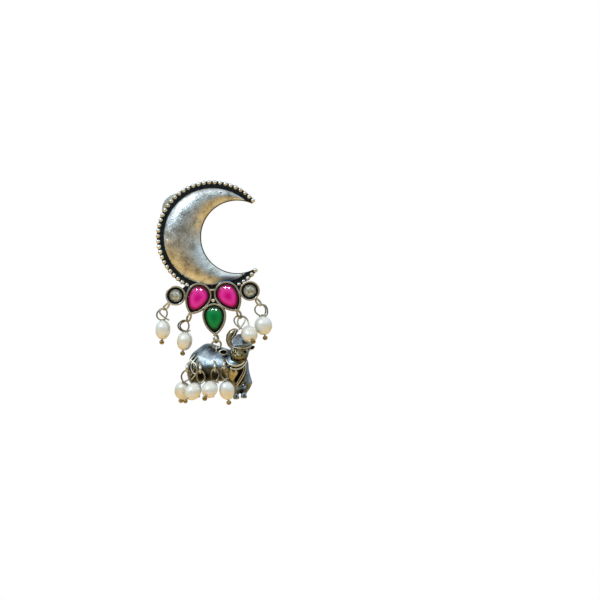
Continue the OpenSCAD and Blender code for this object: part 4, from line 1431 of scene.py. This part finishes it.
class EARRING_OT_stage(Operator):
    """Sets the floor, the light and the camera"""
    bl_idname = "earring.stage"
    bl_label = "Stage"

    def execute(self, context):
        look = context.scene.stage_look
        floor = added(bpy.ops.mesh.primitive_circle_add, vertices=96, radius=FLOOR_RADIUS, fill_type="NGON",
            location=(0, 0, -look.floor_drop))
        floor.name = "floor"
        settle(floor)
        floor.data.materials.append(finish("floor_paper"))
        # The light from below comes from the surroundings, not through the floor
        floor.visible_glossy = floor.visible_diffuse = floor.visible_shadow = False

        # The two small windows show on the smooth stones alone
        stones = bpy.data.collections.new("smooth_stones")
        for piece in bpy.data.objects:
            if piece.name.startswith("cabochon_"):
                stones.objects.link(piece)
        middle = Vector((0.0092, 0, -0.021))
        for name, place, size, power, tone, seen in (
                ("key_light", (-0.30, -0.34, 0.34), 0.22, look.key, "E4F1FF", True),
                ("window_left", (-0.08, -0.40, 0.29), 0.10, 2.8, "FFFFFF", True),
                ("window_right", (0.10, -0.40, 0.29), 0.10, 2.8, "FFFFFF", True),
                ("front_fill", (0.0, -0.9, 0.05), 0.8, 1.65, "FFFFFF", False)):
            light = added(bpy.ops.object.light_add, type="AREA", location=place)
            light.name = name
            light.data.size = size
            light.data.energy = power
            light.data.color = colour(tone)[:3]
            light.rotation_euler = (middle - Vector(place)).to_track_quat("-Z", "Y").to_euler()
            light.visible_camera = False
            light.visible_glossy = seen
            if name.startswith("window"):
                light.visible_diffuse = False
                light.light_linking.receiver_collection = stones

        world = bpy.data.worlds.new("studio")
        context.scene.world = world
        world.use_nodes = True
        tree = world.node_tree
        tree.nodes.clear()
        around = add(tree, "ShaderNodeTexCoord").outputs["Generated"]
        direction = add(tree, "ShaderNodeSeparateXYZ", {0: around})
        height = ranged(tree, direction.outputs["Z"], -1.0, 1.0)
        sky, ground = (*look.sky, 1), (*look.ground, 1)
        sides = add(tree, "ShaderNodeValToRGB", {"Fac": height},
            stops=[(0.0, "F0D49A"), (0.33, "DCBA7C"), (0.45, "B3A88C"), (0.53, "BDBFB4"), (0.61, "A9BFCC"),
            (0.72, "DCEFF8"), (1.0, "F4FAFD")])
        front = add(tree, "ShaderNodeValToRGB", {"Fac": height},
            stops=[(0.0, "F0D49A"), (0.34, "D6B477"), (0.45, "8C8068"), (0.53, "868070"), (0.62, "8FA9B8"),
            (0.72, "DCEFF8"), (1.0, "F4FAFD")])
        for ramp in (sides, front):
            ramp.color_ramp.elements[0].color = ground
            ramp.color_ramp.elements[-1].color = sky
        facing = ranged(tree, direction.outputs["Y"], -0.92, -0.55, 1.0, 0.0)
        wrap = blended(tree, facing, sides.outputs["Color"], front.outputs["Color"])
        path = add(tree, "ShaderNodeLightPath")
        soft = add(tree, "ShaderNodeBackground", {"Color": wrap, "Strength": 1.0})
        white = add(tree, "ShaderNodeBackground", {"Color": (1, 1, 1, 1), "Strength": 1.0})
        both = add(tree, "ShaderNodeMixShader", {0: path.outputs["Is Camera Ray"], 1: soft.outputs[0],
            2: white.outputs[0]})
        tree.links.new(both.outputs[0], add(tree, "ShaderNodeOutputWorld").inputs["Surface"])

        camera = added(bpy.ops.object.camera_add, location=CAMERA_PLACE, rotation=(math.radians(90), 0, 0))
        camera.data.sensor_width = CAMERA_SENSOR
        camera.data.lens = CAMERA_LENS
        camera.data.clip_start, camera.data.clip_end = 0.01, 10
        camera.data.dof.use_dof = False
        context.scene.camera = camera
        context.scene.view_settings.view_transform = "Standard"
        return {"FINISHED"}


class EARRING_PT_panel(Panel):
    """Lists the earring's pieces and sizes"""
    bl_label = "Chandbali Earring"
    bl_idname = "EARRING_PT_panel"
    bl_space_type = "VIEW_3D"
    bl_region_type = "UI"
    bl_category = "Earring"

    def draw(self, context):
        for name in GROUPS:
            group = getattr(context.scene, name)
            for prop in group.bl_rna.properties:
                if prop.identifier not in ("name", "rna_type"):
                    self.layout.prop(group, prop.identifier)
        for operator in OPERATORS:
            self.layout.operator(operator.bl_idname)


GROUPS = {"crescent_sizes": CrescentSizes, "stone_sizes": StoneSizes, "drop_sizes": DropSizes,
          "stage_look": StageLook}
OPERATORS = [EARRING_OT_crescent, EARRING_OT_ear_nut, EARRING_OT_settings, EARRING_OT_stones,
             EARRING_OT_side_drops, EARRING_OT_jump_ring, EARRING_OT_bull, EARRING_OT_bull_drops,
             EARRING_OT_stage]


def register():
    for each in [*GROUPS.values(), *OPERATORS, EARRING_PT_panel]:
        bpy.utils.register_class(each)
    for name, group in GROUPS.items():
        setattr(bpy.types.Scene, name, PointerProperty(type=group))


def unregister():
    for name in GROUPS:
        delattr(bpy.types.Scene, name)
    for each in [EARRING_PT_panel, *reversed(OPERATORS), *reversed(GROUPS.values())]:
        bpy.utils.unregister_class(each)


def main():
    register()
    bpy.ops.earring.crescent()
    bpy.ops.earring.ear_nut()
    bpy.ops.earring.settings()
    bpy.ops.earring.stones()
    bpy.ops.earring.side_drops()
    bpy.ops.earring.jump_ring()
    bpy.ops.earring.bull()
    bpy.ops.earring.bull_drops()
    bpy.ops.earring.stage()


if __name__ == "__main__":
    main()
